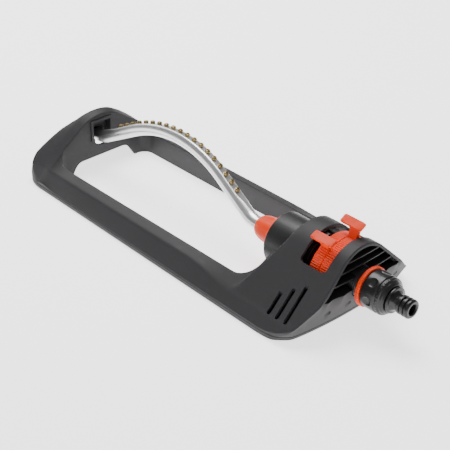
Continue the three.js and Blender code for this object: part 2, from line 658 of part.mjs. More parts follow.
// ---------------------------------------------------------------- range rings
function ribbedOutline(r) {
  const points = [];
  const ribs = 50;
  for (let i = 0; i < ribs; i += 1) {
    for (const [share, depth] of [[0, 0], [0.5, 0], [0.62, 0.6], [0.88, 0.6]]) {
      const a = (i + share) * 2 * Math.PI / ribs;
      points.push([(r - depth) * Math.cos(a), (r - depth) * Math.sin(a)]);
    }
  }
  return points;
}

function circle(r, sides) {
  return Array.from({ length: sides }, (_, i) => {
    const a = -i * 2 * Math.PI / sides;
    return [r * Math.cos(a), r * Math.sin(a)];
  });
}

// the finger plate is as long as both rings are wide
const PLATE_LENGTH = 23;
const PLATE_WIDE = 8.6;
function rangeRing(index) {
  const x0 = RING_X[index];
  const x1 = x0 + RING_WIDTH;
  const top = TAB_TOP_R[index];
  const middle = (RING_X[0] + RING_X[1] + RING_WIDTH) / 2;
  const [halfLong, halfWide] = [PLATE_LENGTH / 2, PLATE_WIDE / 2];
  const plate = box(middle - halfLong, middle + halfLong, -halfWide, halfWide, -1.6, 1.6)
    .rotate([TAB_TILT_DEG[index], 0, 0]).translate([0, 0, AXIS_Z + top]);
  const neck = box(x0 + 1, x1 - 0.6, -2.2, 2.2, AXIS_Z + RING_R - 2, AXIS_Z + top);
  const band = prismX(ribbedOutline(RING_R), x0, x1, [circle(RING_IN, ROUND)]).translate([0, 0, AXIS_Z]);
  return band
    .add(ring(STEM_R + GAP, RING_IN + 1, x0 + 3, x0 + 5.4))
    .add(swing(neck.add(plate), TAB_DEG[index]));
}
add('range_ring_rear', rangeRing(0), finish.orange);
add('range_ring_front', rangeRing(1), finish.orange);

// ---------------------------------------------------------------- hose inlet
add('inlet_ring', ring(THREAD_R + GAP, 18.2, 361.2, NUT_X0 - GAP), finish.orange);

let filter = turned([
  [0, STEM_END - 16], [7.2, STEM_END - 16], [7.2, STEM_END - 1.2], [9.2, STEM_END - 1.2],
  [9.2, STEM_END - 0.2], [6.2, STEM_END - 0.2], [6.2, STEM_END - 14.8], [0, STEM_END - 14.8],
], SMALL);
for (let i = 0; i < 8; i += 1) {
  const slot = box(STEM_END - 13, STEM_END - 4, -0.9, 0.9, 5, 9);
  filter = filter.subtract(slot.rotate([i * 45, 0, 0]).translate([0, 0, AXIS_Z]));
}
add('inlet_filter', filter, finish.steel);
add('hose_washer', ring(6.6, THREAD_R - 0.3, STEM_END + GAP, STEM_END + 2.2, 28), finish.rubber);

const FLANGE_X0 = STEM_END + 2.5;
const FLANGE_X1 = FLANGE_X0 + 2.4;
let nut = turned([
  [THREAD_R + GAP, NUT_X0], [NUT_R - 0.6, NUT_X0], [NUT_R, NUT_X0 + 1], [NUT_R, NUT_X1 - 4.4],
  [NUT_R - 1.6, NUT_X1 - 2.2], [NUT_R - 3, NUT_X1], [9.6, NUT_X1], [9.6, FLANGE_X1 + GAP],
  [THREAD_R + GAP, FLANGE_X1 + GAP], [THREAD_R + GAP, NUT_X0],
], 32);
for (let i = 0; i < 6; i += 1) {
  const dent = rodZ(3.4, NUT_R - 0.9, NUT_R + 4, NUT_X0 + 8, 0, TINY);
  const notch = box(NUT_X0 + 13.2, NUT_X1, -2, 2, NUT_R - 1.2, NUT_R + 3);
  nut = nut
    .subtract(dent.rotate([i * 60, 0, 0]).translate([0, 0, AXIS_Z]))
    .subtract(notch.rotate([i * 60 + 30, 0, 0]).translate([0, 0, AXIS_Z]));
}
add('union_nut', nut, finish.black);

const nipple = turned([
  [4.6, FLANGE_X0], [THREAD_R - 0.2, FLANGE_X0], [THREAD_R - 0.2, FLANGE_X1], [9.2, FLANGE_X1],
  [9.2, 388.6], [12, 388.8], [12, 390.2], [8.4, 391.4], [6.6, 394.6], [6.6, 396],
  [8.5, 396.6], [8.5, 398.6], [6.8, 399.4], [6.8, 400.4], [8.5, 401.2], [8.5, 403], [7, 403.6], [7, 404.4],
  [8.5, 405], [8.5, 407], [7.8, TIP_X], [4.6, TIP_X], [4.6, FLANGE_X0],
], 24);
add('hose_nipple', nipple, finish.black);

export default group;
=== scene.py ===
"""Lawn sprinkler: smooth skins, fine detail and finishes round the packed parts.

Every size below is in millimetres in the maker's own frame, where x is 0 at the face of the
back wall and grows towards the hose inlet, and z is 0 on the ground.  The meshes themselves
are in metres in the packed frame, whose origin is the middle of the object on the ground.
"""

import json
import math

import bmesh
import bpy
import numpy as np
from bpy.props import FloatProperty, FloatVectorProperty, IntProperty, PointerProperty
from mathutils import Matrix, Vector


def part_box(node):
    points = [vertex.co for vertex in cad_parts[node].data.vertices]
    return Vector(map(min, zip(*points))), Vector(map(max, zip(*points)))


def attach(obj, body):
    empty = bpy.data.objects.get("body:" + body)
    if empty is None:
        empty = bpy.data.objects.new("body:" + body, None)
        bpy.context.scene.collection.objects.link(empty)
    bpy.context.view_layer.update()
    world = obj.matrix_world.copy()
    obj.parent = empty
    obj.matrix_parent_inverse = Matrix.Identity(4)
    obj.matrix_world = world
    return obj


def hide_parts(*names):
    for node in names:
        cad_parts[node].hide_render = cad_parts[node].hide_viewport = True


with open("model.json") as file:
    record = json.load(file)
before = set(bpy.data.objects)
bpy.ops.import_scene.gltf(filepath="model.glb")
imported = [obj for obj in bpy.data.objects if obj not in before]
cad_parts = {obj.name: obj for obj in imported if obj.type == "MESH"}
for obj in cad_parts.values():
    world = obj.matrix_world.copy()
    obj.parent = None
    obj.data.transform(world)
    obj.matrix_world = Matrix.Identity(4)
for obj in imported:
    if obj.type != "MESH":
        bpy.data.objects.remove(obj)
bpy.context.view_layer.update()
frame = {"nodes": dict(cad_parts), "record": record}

bl_info = {
    "name": "Lawn Sprinkler",
    "version": (1, 0, 0),
    "blender": (4, 5, 0),
    "location": "3D View > Sidebar > Sprinkler",
    "description": "Builds the visible skins and finishes of an oscillating lawn sprinkler",
    "category": "Object",
}

# the back of the frame, the height of the common axis, and the middle of the object
REAR_X, AXIS = -36.0, 36.0
MIDDLE_X = 1000 * (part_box("hose_nipple")[1].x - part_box("base_frame")[0].x) / 2 + REAR_X
# the hood's round top, the y where it runs into its wings at 45 degrees, and the sum of y and z there
HOOD_R = 34.8
HOOD_EDGE, WING_PLANE = HOOD_R / math.sqrt(2), AXIS + HOOD_R * math.sqrt(2)
# the mouth's sill, the bowed face below it, and the hole round the inlet stem
SILL = 35.2
FACE_X, BOW_R = 343.5, 450.0
BOW_X = FACE_X - BOW_R
STEM_HOLE = 13.9


# ------------------------------------------------------------------ number tools
def smooth_min(a, b, r):
    """The lower of two heights, with the corner between them rounded over about r."""
    return (a + b) / 2 - np.sqrt((a - b) ** 2 + r * r) / 2


def smooth_max(a, b, r):
    """The higher of two heights, with the corner between them rounded over about r."""
    return (a + b) / 2 + np.sqrt((a - b) ** 2 + r * r) / 2


def ease(x, a, b):
    """0 before a, 1 after b, and the cubic 3t^2 - 2t^3 between them."""
    t = np.clip((x - a) / (b - a), 0, 1)
    return t * t * (3 - 2 * t)


def table(x, pairs):
    """Straight lines through (x, value) pairs."""
    return np.interp(x, [p[0] for p in pairs], [p[1] for p in pairs])


def soft_table(x, pairs, width):
    """Straight lines through the pairs, averaged over a window, so that the corners are rounded."""
    steps = np.linspace(-1, 1, 9)
    return sum(table(x + s * width, pairs) for s in steps) / len(steps)


def rounded(corners, steps=5):
    """A closed outline through corners (a, b, radius): each corner is replaced by the curve
    p = (1-t)^2 start + 2t(1-t) corner + t^2 end, which starts and ends one radius away from it."""
    pts = np.array([c[:2] for c in corners], float)
    radii = np.array([c[2] for c in corners], float)
    before = np.roll(pts, 1, 0) - pts
    after = np.roll(pts, -1, 0) - pts
    lb = np.linalg.norm(before, axis=1)
    la = np.linalg.norm(after, axis=1)
    reach = np.minimum(radii, 0.49 * np.minimum(la, lb))[:, None]
    start = pts + before / lb[:, None] * reach
    end = pts + after / la[:, None] * reach
    t = np.linspace(0, 1, steps)[None, :, None]
    curve = (1 - t) ** 2 * start[:, None] + 2 * t * (1 - t) * pts[:, None] + t * t * end[:, None]
    return curve.reshape(-1, 2)


def fill_in(profile, step):
    """Adds points along a closed line, so that none of its stretches is longer than step."""
    p = np.asarray(profile, float)
    q = np.roll(p, -1, 0)
    out = []
    for a, b in zip(p, q):
        n = max(1, int(math.ceil(np.linalg.norm(b - a) / step)))
        out.append(a + (b - a) * (np.arange(n) / n)[:, None])
    return np.vstack(out)


def grid_faces(nu, nv, close_u, close_v):
    """Four-cornered faces between the rows and columns of a grid of nu by nv points."""
    iu = np.arange(nu if close_u else nu - 1)
    iv = np.arange(nv if close_v else nv - 1)
    u, v = np.meshgrid(iu, iv, indexing="ij")
    u2, v2 = (u + 1) % nu, (v + 1) % nv
    return np.stack([u * nv + v, u2 * nv + v, u2 * nv + v2, u * nv + v2], -1).reshape(-1, 4)


def linked(name, data):
    """A mesh, light or camera as an object of the scene."""
    obj = bpy.data.objects.new(name, data)
    bpy.context.scene.collection.objects.link(obj)
    return obj


def shaded(obj, sharp=35.0):
    """Shades a piece smooth but for the edges that turn by more than the angle."""
    obj.data.shade_smooth()
    obj.data.set_sharp_from_angle(angle=math.radians(sharp))
    return obj


def surface(name, grid, close_u=False, close_v=False, sharp=35.0):
    """The grid (nu, nv, 3), in millimetres in the maker's frame, as one closed piece: seams and poles are
    welded and the faces turned outwards."""
    points = np.array(grid, float).reshape(-1, 3)
    points[:, 0] -= MIDDLE_X
    mesh = bpy.data.meshes.new(name)
    mesh.from_pydata((points / 1000).tolist(), [], grid_faces(*grid.shape[:2], close_u, close_v).tolist())
    bm = bmesh.new()
    bm.from_mesh(mesh)
    bmesh.ops.remove_doubles(bm, verts=bm.verts, dist=2e-6)
    bmesh.ops.recalc_face_normals(bm, faces=bm.faces)
    if bm.calc_volume(signed=True) < 0:
        bmesh.ops.reverse_faces(bm, faces=bm.faces)
    bm.to_mesh(mesh)
    bm.free()
    return shaded(linked(name, mesh), sharp)


def joined(name, parts):
    """Several closed pieces as one object."""
    bm = bmesh.new()
    for obj in parts:
        bm.from_mesh(obj.data)
        bpy.data.objects.remove(obj)
    mesh = bpy.data.meshes.new(name)
    bm.to_mesh(mesh)
    bm.free()
    return shaded(linked(name, mesh))


def leaned(x, across, up, lean):
    """Points of an upright plane through the common axis turned about it by the lean, towards +Y."""
    return np.stack([x, across * math.cos(lean) + up * math.sin(lean),
                     AXIS + up * math.cos(lean) - across * math.sin(lean)], -1)


def turned(name, profile, sides=96, ripple=None, y=0.0, z=AXIS):
    """A piece turned about the common axis: (x, y, z) = (x, r cos a, axis + r sin a).
    profile is a closed or axis-to-axis line of (x, r); ripple(a, x, r) is added to r."""
    p = np.asarray(profile, float)
    a = np.linspace(0, 2 * np.pi, sides, endpoint=False)[:, None]
    x, r = p[None, :, 0] + 0 * a, p[None, :, 1] + 0 * a
    if ripple is not None:
        r = r + ripple(a + 0 * r, x, r)
    grid = np.stack([x, y + r * np.cos(a), z + r * np.sin(a)], -1)
    closed = p[0, 1] > 1e-6 or p[-1, 1] > 1e-6
    return surface(name, grid, close_u=True, close_v=closed)


def slab(outline, z0, z1, edge):
    """A flat plate: the closed outline (n, 2) at both faces, its edges rounded by a quarter circle.
    Rows run from the middle of the lower face, round the edge, to the middle of the upper one."""
    o = np.asarray(outline, float)
    centre = (o.max(0) + o.min(0)) / 2
    arm = o - centre
    size = np.abs(arm).max(0)
    t = np.linspace(0, np.pi / 2, 4)
    inset = np.concatenate([edge * (1 - np.sin(t)), (edge * (1 - np.sin(t)))[::-1]])
    height = np.concatenate([z0 + edge * (1 - np.cos(t)), (z1 - edge * (1 - np.cos(t)))[::-1]])
    scale = 1 - inset[None, :, None] / size[None, None, :]
    rows = centre + arm[:, None, :] * scale
    grid = np.concatenate([rows, np.broadcast_to(height[None, :, None], rows.shape[:2] + (1,))], -1)
    poles = [np.broadcast_to(np.append(centre, h), (len(o), 1, 3)) for h in (z0, z1)]
    return np.concatenate([poles[0], grid, poles[1]], 1)


# ------------------------------------------------------------------ shader tools
class Socket:
    """One shader socket whose +, - and * add Math nodes."""

    def __init__(self, shader, socket):
        self.shader, self.socket = shader, socket

    def _math(self, operation, a, b):
        return self.shader.node("Math", {"operation": operation}, {0: a, 1: b})

    def __add__(self, other):
        return self._math("ADD", self, other)

    def __radd__(self, other):
        return self._math("ADD", other, self)

    def __sub__(self, other):
        return self._math("SUBTRACT", self, other)

    def __rsub__(self, other):
        return self._math("SUBTRACT", other, self)

    def __mul__(self, other):
        return self._math("MULTIPLY", self, other)

    def __rmul__(self, other):
        return self._math("MULTIPLY", other, self)


class Shader:
    """A material's node tree, written as expressions."""

    def __init__(self, name):
        self.material = bpy.data.materials.new(name)
        self.material.use_nodes = True
        self.tree = self.material.node_tree
        self.surface = self.tree.nodes["Principled BSDF"]
        self.where = self.node("TexCoord", out="Object")

    def node(self, kind, settings=None, inputs=None, out=0):
        """Adds the node ShaderNode<kind>, sets it up, feeds its sockets and returns one output."""
        made = self.tree.nodes.new("ShaderNode" + kind)
        for key, value in (settings or {}).items():
            setattr(made, key, value)
        for key, value in (inputs or {}).items():
            if isinstance(value, Socket):
                self.tree.links.new(value.socket, made.inputs[key])
            else:
                made.inputs[key].default_value = value
        return Socket(self, made.outputs[out])

    def noise(self, scale, detail=2.0, stretch=(1, 1, 1)):
        """Soft noise from 0 to 1, with scale in cycles a metre along each axis times stretch."""
        at = self.node("Mapping", None, {"Vector": self.where, "Scale": stretch})
        return self.node("TexNoise", None, {"Vector": at, "Scale": scale, "Detail": detail})

    def ramp(self, value, low, high):
        """0 below low, 1 above high."""
        return self.node("MapRange", None, {0: value, 1: low, 2: high})

    def mix(self, factor, a, b):
        """The colour a where factor is 0 and b where it is 1."""
        return self.node("Mix", {"data_type": "RGBA"}, {0: factor, 6: a, 7: b}, out=2)

    def feed(self, socket, value):
        """Sets or links a socket of the surface."""
        if isinstance(value, Socket):
            self.tree.links.new(value.socket, self.surface.inputs[socket])
        else:
            self.surface.inputs[socket].default_value = value

    def bump(self, height, distance, strength):
        """A relief of the stated depth in metres."""
        relief = {"Height": height, "Distance": distance, "Strength": strength}
        self.feed("Normal", self.node("Bump", None, relief))


def shade(colour, factor):
    """The colour times a factor, as four numbers."""
    return tuple(min(1.0, c * factor) for c in colour[:3]) + (1.0,)


def matt_shell(name, colour):
    """Textured dark plastic: a fine spark-eroded grain, slow cloudy changes of tone and a few pale scuffs."""
    s = Shader(name)
    grain = s.noise(2600, 3)
    cloud = s.noise(24, 3)
    scuff = s.ramp(s.noise(150, 5, (0.35, 1, 1)), 0.63, 0.75)
    tone = s.mix(cloud, shade(colour, 0.9), shade(colour, 1.12))
    tone = s.mix(s.ramp(grain, 0.35, 0.7) * 0.35, tone, shade(colour, 1.35))
    s.feed("Base Color", s.mix(scuff * 0.12, tone, shade(colour, 2.0)))
    s.feed("Roughness", 0.5 + grain * 0.12 - scuff * 0.06)
    s.feed("Specular IOR Level", 0.3)
    s.bump(grain, 0.00006, 0.7)
    return s.material


def gloss_plastic(name, colour, rough, speck, coat, shine):
    """Glossy moulded plastic: faint flow marks, a little dust and a slightly wavy skin."""
    s = Shader(name)
    s.feed("Specular IOR Level", shine)
    flow = s.noise(55, 3, (1, 0.4, 0.4))
    dust = s.ramp(s.noise(900, 4), 0.6, 0.8)
    tone = s.mix(flow, shade(colour, 0.85), shade(colour, 1.12))
    s.feed("Base Color", s.mix(dust * (0.1 * speck), tone, (0.6, 0.6, 0.58, 1)))
    s.feed("Roughness", rough + flow * 0.08 + dust * 0.12)
    s.feed("Coat Weight", coat)
    s.feed("Coat Roughness", 0.12)
    s.bump(flow * 0.8 + dust * 0.1, 0.00008, 0.2)
    return s.material


def drawn_metal(name, colour, rough):
    """Drawn and polished metal: fine streaks along its length and a few handling marks."""
    s = Shader(name)
    streak = s.noise(300, 2, (0.03, 1, 1))
    mark = s.ramp(s.noise(60, 3), 0.5, 0.75)
    s.feed("Base Color", s.mix(mark, shade(colour, 1), shade(colour, 0.9)))
    s.feed("Metallic", 1.0)
    s.feed("Roughness", rough + streak * 0.1 + mark * 0.06)
    s.bump(streak, 0.00002, 0.15)
    return s.material


def turned_metal(name, colour, rough):
    """Turned metal: rings of tool marks and darker tarnish in patches."""
    s = Shader(name)
    tarnish = s.noise(260, 4)
    ring = s.noise(3000, 2, (0.2, 0.2, 1))
    s.feed("Base Color", s.mix(s.ramp(tarnish, 0.4, 0.75), shade(colour, 1.05), shade(colour, 0.62)))
    s.feed("Metallic", 1.0)
    s.feed("Roughness", rough + ring * 0.15)
    s.bump(ring, 0.00003, 0.5)
    return s.material


def soft_matt(name, colour, rough):
    """Plain moulded nylon or rubber: a little mottling and a fine skin."""
    s = Shader(name)
    cloud = s.noise(90, 3)
    skin = s.noise(1600, 2)
    s.feed("Base Color", s.mix(cloud, shade(colour, 0.88), shade(colour, 1.1)))
    s.feed("Roughness", rough + skin * 0.15)
    s.bump(skin, 0.00005, 0.5)
    return s.material


# the finishes made so far, by name
FINISHES = {}


def dress(obj, finish):
    """Gives a piece one of the finishes, made once from the colours in the panel."""
    if finish not in FINISHES:
        c = bpy.context.scene.sprinkler_colours
        kind, *values = {
            "shell_grey": (matt_shell, c.shell),
            "grille_dark": (matt_shell, c.grille),
            "black_gloss": (gloss_plastic, c.black, 0.28, 0.5, 0.1, 0.35),
            "black_satin": (gloss_plastic, shade(c.black, 1.6), 0.4, 0.3, 0.05, 0.35),
            "orange": (gloss_plastic, c.orange, 0.38, 0.0, 0.0, 0.25),
            "aluminium": (drawn_metal, c.aluminium, 0.27),
            "brass": (turned_metal, c.brass, 0.3),
            "steel": (drawn_metal, (0.55, 0.56, 0.57), 0.28),
            "nylon": (soft_matt, (0.62, 0.6, 0.55), 0.6),
            "rubber": (soft_matt, (0.02, 0.02, 0.02), 0.7),
        }[finish]
        FINISHES[finish] = kind(finish, *values)
    obj.data.materials.clear()
    obj.data.materials.append(FINISHES[finish])


# ------------------------------------------------------------------ sizes and colours
def mm(name, default, text, low=0.1, high=600.0):
    """A length in millimetres for the panel."""
    return FloatProperty(name=name, default=default, min=low, max=high, description=text)


def tint(name, default, text):
    """A colour for the panel."""
    return FloatVectorProperty(
        name=name, subtype="COLOR", size=3, default=default, min=0, max=1, description=text)


class SprinklerColours(bpy.types.PropertyGroup):
    """Colours of the finishes."""

    shell: tint("Shell", (0.027, 0.0258, 0.028), "Textured plastic of the base frame")
    grille: tint("Grille", (0.014, 0.0135, 0.0145), "Plastic behind the front slats")
    black: tint("Black", (0.009, 0.009, 0.0095), "Glossy plastic of the motor and the hose fittings")
    orange: tint("Orange", (0.92, 0.048, 0.0005), "Plastic of the range rings, collar and inlet ring")
    aluminium: tint("Aluminium", (0.83, 0.83, 0.84), "Spray tube")
    brass: tint("Brass", (0.33, 0.25, 0.12), "Nozzles")


class ShellSizes(bpy.types.PropertyGroup):
    """Sizes of the base frame's skin, in millimetres."""

    wall: mm("Wall", 2.8, "Wall thickness of the shell", 1, 8)
    edge: mm("Edge", 1.3, "Radius of the outer edges", 0.2, 4)
    crease: mm("Crease", 1.2, "Softness of the crease along the rails", 0.1, 6)
    seam: mm("Seam", 1.0, "Depth of the seam above the ground edge", 0.0, 2)
    along: IntProperty(
        name="Along", default=560, min=120, max=1200, description="Grid columns round the frame")
    across: IntProperty(
        name="Across", default=84, min=20, max=160, description="Grid rows across the frame")


class TubeSizes(bpy.types.PropertyGroup):
    """Sizes of the spray tube and its nozzles, in millimetres."""

    radius: mm("Radius", 6.6, "Outer radius of the tube", 2, 12)
    flat: mm("Flat", 4.8, "Height of the flat land above the centre line", 1, 10)
    lean: FloatProperty(
        name="Lean", default=math.radians(12.5), subtype="ANGLE", description="Lean of the tube at rest")
    nozzles: IntProperty(name="Nozzles", default=19, min=1, max=19, description="Nozzles along the tube")
    pitch: mm("Pitch", 9.65, "Distance from nozzle to nozzle", 4, 20)
    head: mm("Head", 2.5, "Radius of a nozzle's head", 1, 4)


class RingSizes(bpy.types.PropertyGroup):
    """Sizes of the range rings, in millimetres."""

    radius: mm("Radius", 32.0, "Outer radius of a ring", 20, 33)
    width: mm("Width", 10.2, "Width of a ring", 4, 10.3)
    ribs: IntProperty(name="Ribs", default=96, min=12, max=120, description="Grip ribs round a ring")
    depth: mm("Rib depth", 0.8, "Depth of the grooves between the ribs", 0, 2)


# ------------------------------------------------------------------ base frame
# y and z of a rail's inner edge, its crease and its outer edge, and how steeply flank and wing fall
RAIL_IN, CREASE_Y, SIDE_Y = 55.5, 66.6, 79.4
RAIL_Z, CREASE_Z, LIP_Z = 24.2, 21.2, 6.0
FLANK_FALL = (CREASE_Z - LIP_Z) / (SIDE_Y - CREASE_Y)
WING_FALL = (AXIS + HOOD_EDGE - LIP_Z) / (SIDE_Y - HOOD_EDGE)
# plan: the opening's front end and its corner radii, the frame's rear corners and its front ones, which
# are cut off at 0.7 x + 0.714 |y| = CUT_LOW on the ground and CUT_STEP further out from CUT_Z up
OPEN_FRONT, FRONT_FILLET, REAR_FILLET, REAR_CORNER = 274.0, 18.0, 11.0, 28.0
FRONT_CORNER = np.array([(308, SIDE_Y), (353, SIDE_Y), (359, 50)])
CUT_LOW, CUT_STEP, CUT_Z = 284.5, 9.0, 16.0
# heights over y of the arch's crest, and over x of the arch's back and the slope behind the hood
CREST = [(0, 63.8), (8, 63.2), (18, 60), (32, 51), (44, 41.5), (57, 29.5), (70, 16.7), (79.4, 7)]
ARCH_BACK = [(-36.2, 9), (-34, 25), (-31, 33.5), (-27.3, 41), (-23, 49), (-14, 59.5), (-9.5, 68.8), (-6, 90)]
HOOD_BACK = [(262, 3), (273, 23.6), (284, 44.5), (290, 58.5), (294, 76), (300, 110), (420, 700)]


def flared(x):
    """Width of the flank at x as a share of its width at the front."""
    return np.clip(0.66 + 0.34 * x / 320, 0, 1)


def shell_height(x, y, soft):
    """Height of the shell's top over a point.  Rails: the lower of two slopes that meet in the crease.
    Hood: a round top with straight wings, cut off by the slope behind it.  Arch: its section with a bevel
    in front of the ridge, cut off by its round back.  The highest of them counts."""
    w = np.abs(y)
    w = np.where(w > CREASE_Y, CREASE_Y + (w - CREASE_Y) / flared(x), w)
    tilt = 0.27 + 0.28 * ease(x, 205, 262)
    rail = smooth_min(RAIL_Z - tilt * (w - RAIL_IN), CREASE_Z - (w - CREASE_Y) * FLANK_FALL, soft)
    round_top = AXIS + np.sqrt(np.maximum(HOOD_R**2 - w * w, 1))
    hood = np.where(w < HOOD_EDGE, round_top, LIP_Z + (SIDE_Y - w) * WING_FALL)
    hood = smooth_min(hood, table(x, HOOD_BACK), 1.0 + 3.0 * ease(w, 40, 10))
    crest = soft_table(w, CREST, 4.0)
    bevel = 3.4 * np.clip((crest - 24) / 24, 0, 1)
    arch = smooth_min(crest, crest - bevel * (1 + np.clip(x, REAR_X, 1) / 10), 0.5)
    lift = smooth_max(arch - rail, 0, 2.0) * np.clip(1 - x / 24, 0, 1) ** 2
    height = np.where(x < 1, smooth_max(rail - 4 * ease(x, 0, -16), arch, 2.0), rail + lift)
    sunk = ease(y, -21, -20) * ease(y, 3, 2) * ease(x, -13.5, -15)
    back = soft_table(x, ARCH_BACK, 1.0)
    ends = smooth_min(height, back, 6.0 * ease(x, 4, -12))
    # round the rear corners the flank's fall turns into the back's fall with the angle about the corner
    along, beside = np.maximum(REAR_X + REAR_CORNER - x, 0), np.maximum(w - SIDE_Y + REAR_CORNER, 0)
    turn = ease(np.arctan2(along, beside + 1e-6), 0, math.pi / 2)
    inward = np.maximum(REAR_CORNER - np.hypot(along, beside), 0)
    side_fall = np.minimum(soft_table(SIDE_Y - inward, CREST, 4.0), LIP_Z + FLANK_FALL * inward)
    corner = (1 - turn) * side_fall + turn * soft_table(inward + REAR_X, ARCH_BACK, 1.0)
    height = np.where(x < 4, ends - 1.3 * sunk, height)
    height = np.where((along > 0) & (beside > 0), np.minimum(ends, corner), height)
    return np.where(x > 258, smooth_max(rail, hood, 0.8), height)


def front_radius(z):
    """Distance of the bowed front face from the middle of its bow: it leans out by 14 mm up to the sill
    and back by 5 mm from there to the hood's top."""
    return BOW_R + np.where(z < SILL, 14.0 * z / SILL, 14.0 - 5.0 * (z - SILL) / 35.6)


def front_x(z, y, back=0.0):
    """x of the bowed front face at height z and y, or of a bow that lies further back."""
    return BOW_X + np.sqrt((front_radius(z) - back) ** 2 - y * y)


def corner_arc(cx, cy, r, a0, a1, n):
    """Points on a circle from angle a0 to a1 in degrees."""
    a = np.radians(np.linspace(a0, a1, n, endpoint=False))
    return np.stack([cx + r * np.cos(a), cy + r * np.sin(a)], -1)


def line(a, b, n):
    """Points from a to b, without b."""
    return np.linspace(a, b, n, endpoint=False)


def frame_rulings(count):
    """Two matched closed outlines in plan, that of the opening and that of the frame, joined by straight
    rulings.  They run along one rail, round the front, back along the other rail and round the back.  A
    front corner is p = (1-t)^2 a + 2t(1-t) b + t^2 c through its three points."""
    n = [int(count * share) for share in (0.2, 0.05, 0.19, 0.05, 0.2, 0.06, 0.19, 0.06)]
    near, far = REAR_FILLET, OPEN_FRONT - FRONT_FILLET
    side, rear_side = RAIL_IN - FRONT_FILLET, RAIL_IN - REAR_FILLET
    inner = np.vstack([
        line((near, -RAIL_IN), (far, -RAIL_IN), n[0]), corner_arc(far, -side, FRONT_FILLET, -90, 0, n[1]),
        line((OPEN_FRONT, -side), (OPEN_FRONT, side), n[2]), corner_arc(far, side, FRONT_FILLET, 0, 90, n[3]),
        line((far, RAIL_IN), (near, RAIL_IN), n[4]), corner_arc(near, rear_side, REAR_FILLET, 90, 180, n[5]),
        line((0, rear_side), (0, -rear_side), n[6]),
        corner_arc(near, -rear_side, REAR_FILLET, 180, 270, n[7])])
    t = np.linspace(0, 1, n[1], endpoint=False)[:, None]
    a, b, c = FRONT_CORNER
    mirror = np.array([1, -1])
    turn = ((1 - t) ** 2 * a + 2 * t * (1 - t) * b + t * t * c) * mirror
    back = (1 - t) ** 2 * c + 2 * t * (1 - t) * b + t * t * a
    start, beside = REAR_X + REAR_CORNER, SIDE_Y - REAR_CORNER
    outer = np.vstack([
        line((start, -SIDE_Y), a * mirror, n[0]), turn,
        line(c * mirror, c, n[2]), back,
        line(a, (start, SIDE_Y), n[4]), corner_arc(start, beside, REAR_CORNER, 90, 180, n[5]),
        line((REAR_X, beside), (REAR_X, -beside), n[6]),
        corner_arc(start, -beside, REAR_CORNER, 180, 270, n[7])])
    w = np.abs(outer[:, 1])
    beyond = np.maximum(w - CREASE_Y, 0) * flared(outer[:, 0])
    outer[:, 1] = np.sign(outer[:, 1]) * (np.minimum(w, CREASE_Y) + beyond)
    return inner, outer


def frame_skin(sizes):
    """The shell as one ring: at each ruling a profile goes up the opening's wall, over the top along the
    ruling, down the outer wall with its seam, and back along the inside of the wall and the ceiling."""
    inner, outer = frame_rulings(sizes.along)
    run = outer - inner
    length = np.linalg.norm(run, axis=1)
    # the cut across a front corner is measured along its own slanting direction
    slant = np.stack([0.7 + 0 * outer[:, 0], 0.714 * np.sign(outer[:, 1])], 1)
    slant_run = np.maximum((run * slant).sum(1), 5)
    slant_start = (inner * slant).sum(1)

    def reach(z):
        """Share of the ruling that lies behind the front face and the cut corners at height z."""
        from_bow = inner - np.array([BOW_X, 0])
        a = (run**2).sum(1)
        b = 2 * (from_bow * run).sum(1)
        c = (from_bow**2).sum(1) - front_radius(z) ** 2
        face = np.minimum(1.0, (-b + np.sqrt(np.maximum(b * b - 4 * a * c, 0))) / (2 * a))
        corner = (CUT_LOW + CUT_STEP * ease(z, 0, CUT_Z) - slant_start) / slant_run
        return smooth_min(face, np.where(outer[:, 0] > 290, corner, 9.0), 0.03)

    def at(t, z):
        """Points a share t along the rulings at height z."""
        p = inner + run * t[:, None]
        return np.concatenate([p, z[:, None]], 1)

    def height(t):
        """Height of the top a share t along the rulings."""
        return shell_height(*(inner + run * t[:, None]).T, sizes.crease)

    zero = np.zeros(len(inner))
    top = zero + LIP_Z
    for _ in range(30):
        top = top * 0.5 + 0.5 * height(reach(top))
    edge, wall, seam = sizes.edge, sizes.wall, sizes.seam
    edge_out = 0.4 + (edge - 0.4) * ease(top, 8, 20)
    t_out = reach(top)
    z_in = height(zero)
    rows = [at(zero, zero + z) for z in (0.0, 0.6)]
    rows += [at(zero, 0.6 + (z_in - edge - 0.6) * k) for k in (0.25, 0.5, 0.75, 1)]
    # rows crowd towards both ends of the ruling, where the edges are rounded
    k = np.linspace(0, 1, sizes.across)
    k = k - 0.12 * np.sin(2 * np.pi * k)
    for share in k:
        t = share * t_out
        z = height(t)
        for d, r in ((t * length, edge), ((t_out - t) * length, edge_out)):
            d = np.clip(d / r, 0, 1)
            z = z - r * (1 - np.sqrt(1 - (1 - d) ** 2))
        rows.append(at(t, z))
    z_top = rows[-1][:, 2]
    low = np.minimum(5.4, z_top - 0.1)
    for share in (0.2, 0.45, 0.7, 0.9, 1.0):
        z = z_top + (low - z_top) * share
        rows.append(at(reach(z), z))
    groove = [(5.1, 0), (4.95, 0.7), (4.6, 1), (4.25, 0.7), (4.1, 0)]
    foot = [(2.5, 0), (0.7, 0), (0.2, 0.25), (0, 0.7)]
    for z, sunk in [(z, seam * share) for z, share in groove] + foot:
        rows.append(at(reach(z + zero) - sunk / length, z + zero))
    # the inside of the outer wall, the ceiling and the inside of the opening's wall
    skin = wall / length
    rows.append(at(reach(zero) - skin, zero))
    for share in np.linspace(1, 0, 26):
        t = skin + share * (t_out - 2 * skin)
        beyond = height(np.clip(t + skin, 0, t_out)) - wall
        before = height(np.clip(t - skin, 0, 1)) - wall
        z = np.maximum(np.minimum(np.minimum(height(t) - wall * 1.25, beyond), before), 1.0)
        rows.append(at(np.minimum(t, reach(z) - skin), z))
    rows.append(at(skin, zero))
    return np.stack(rows, 1)


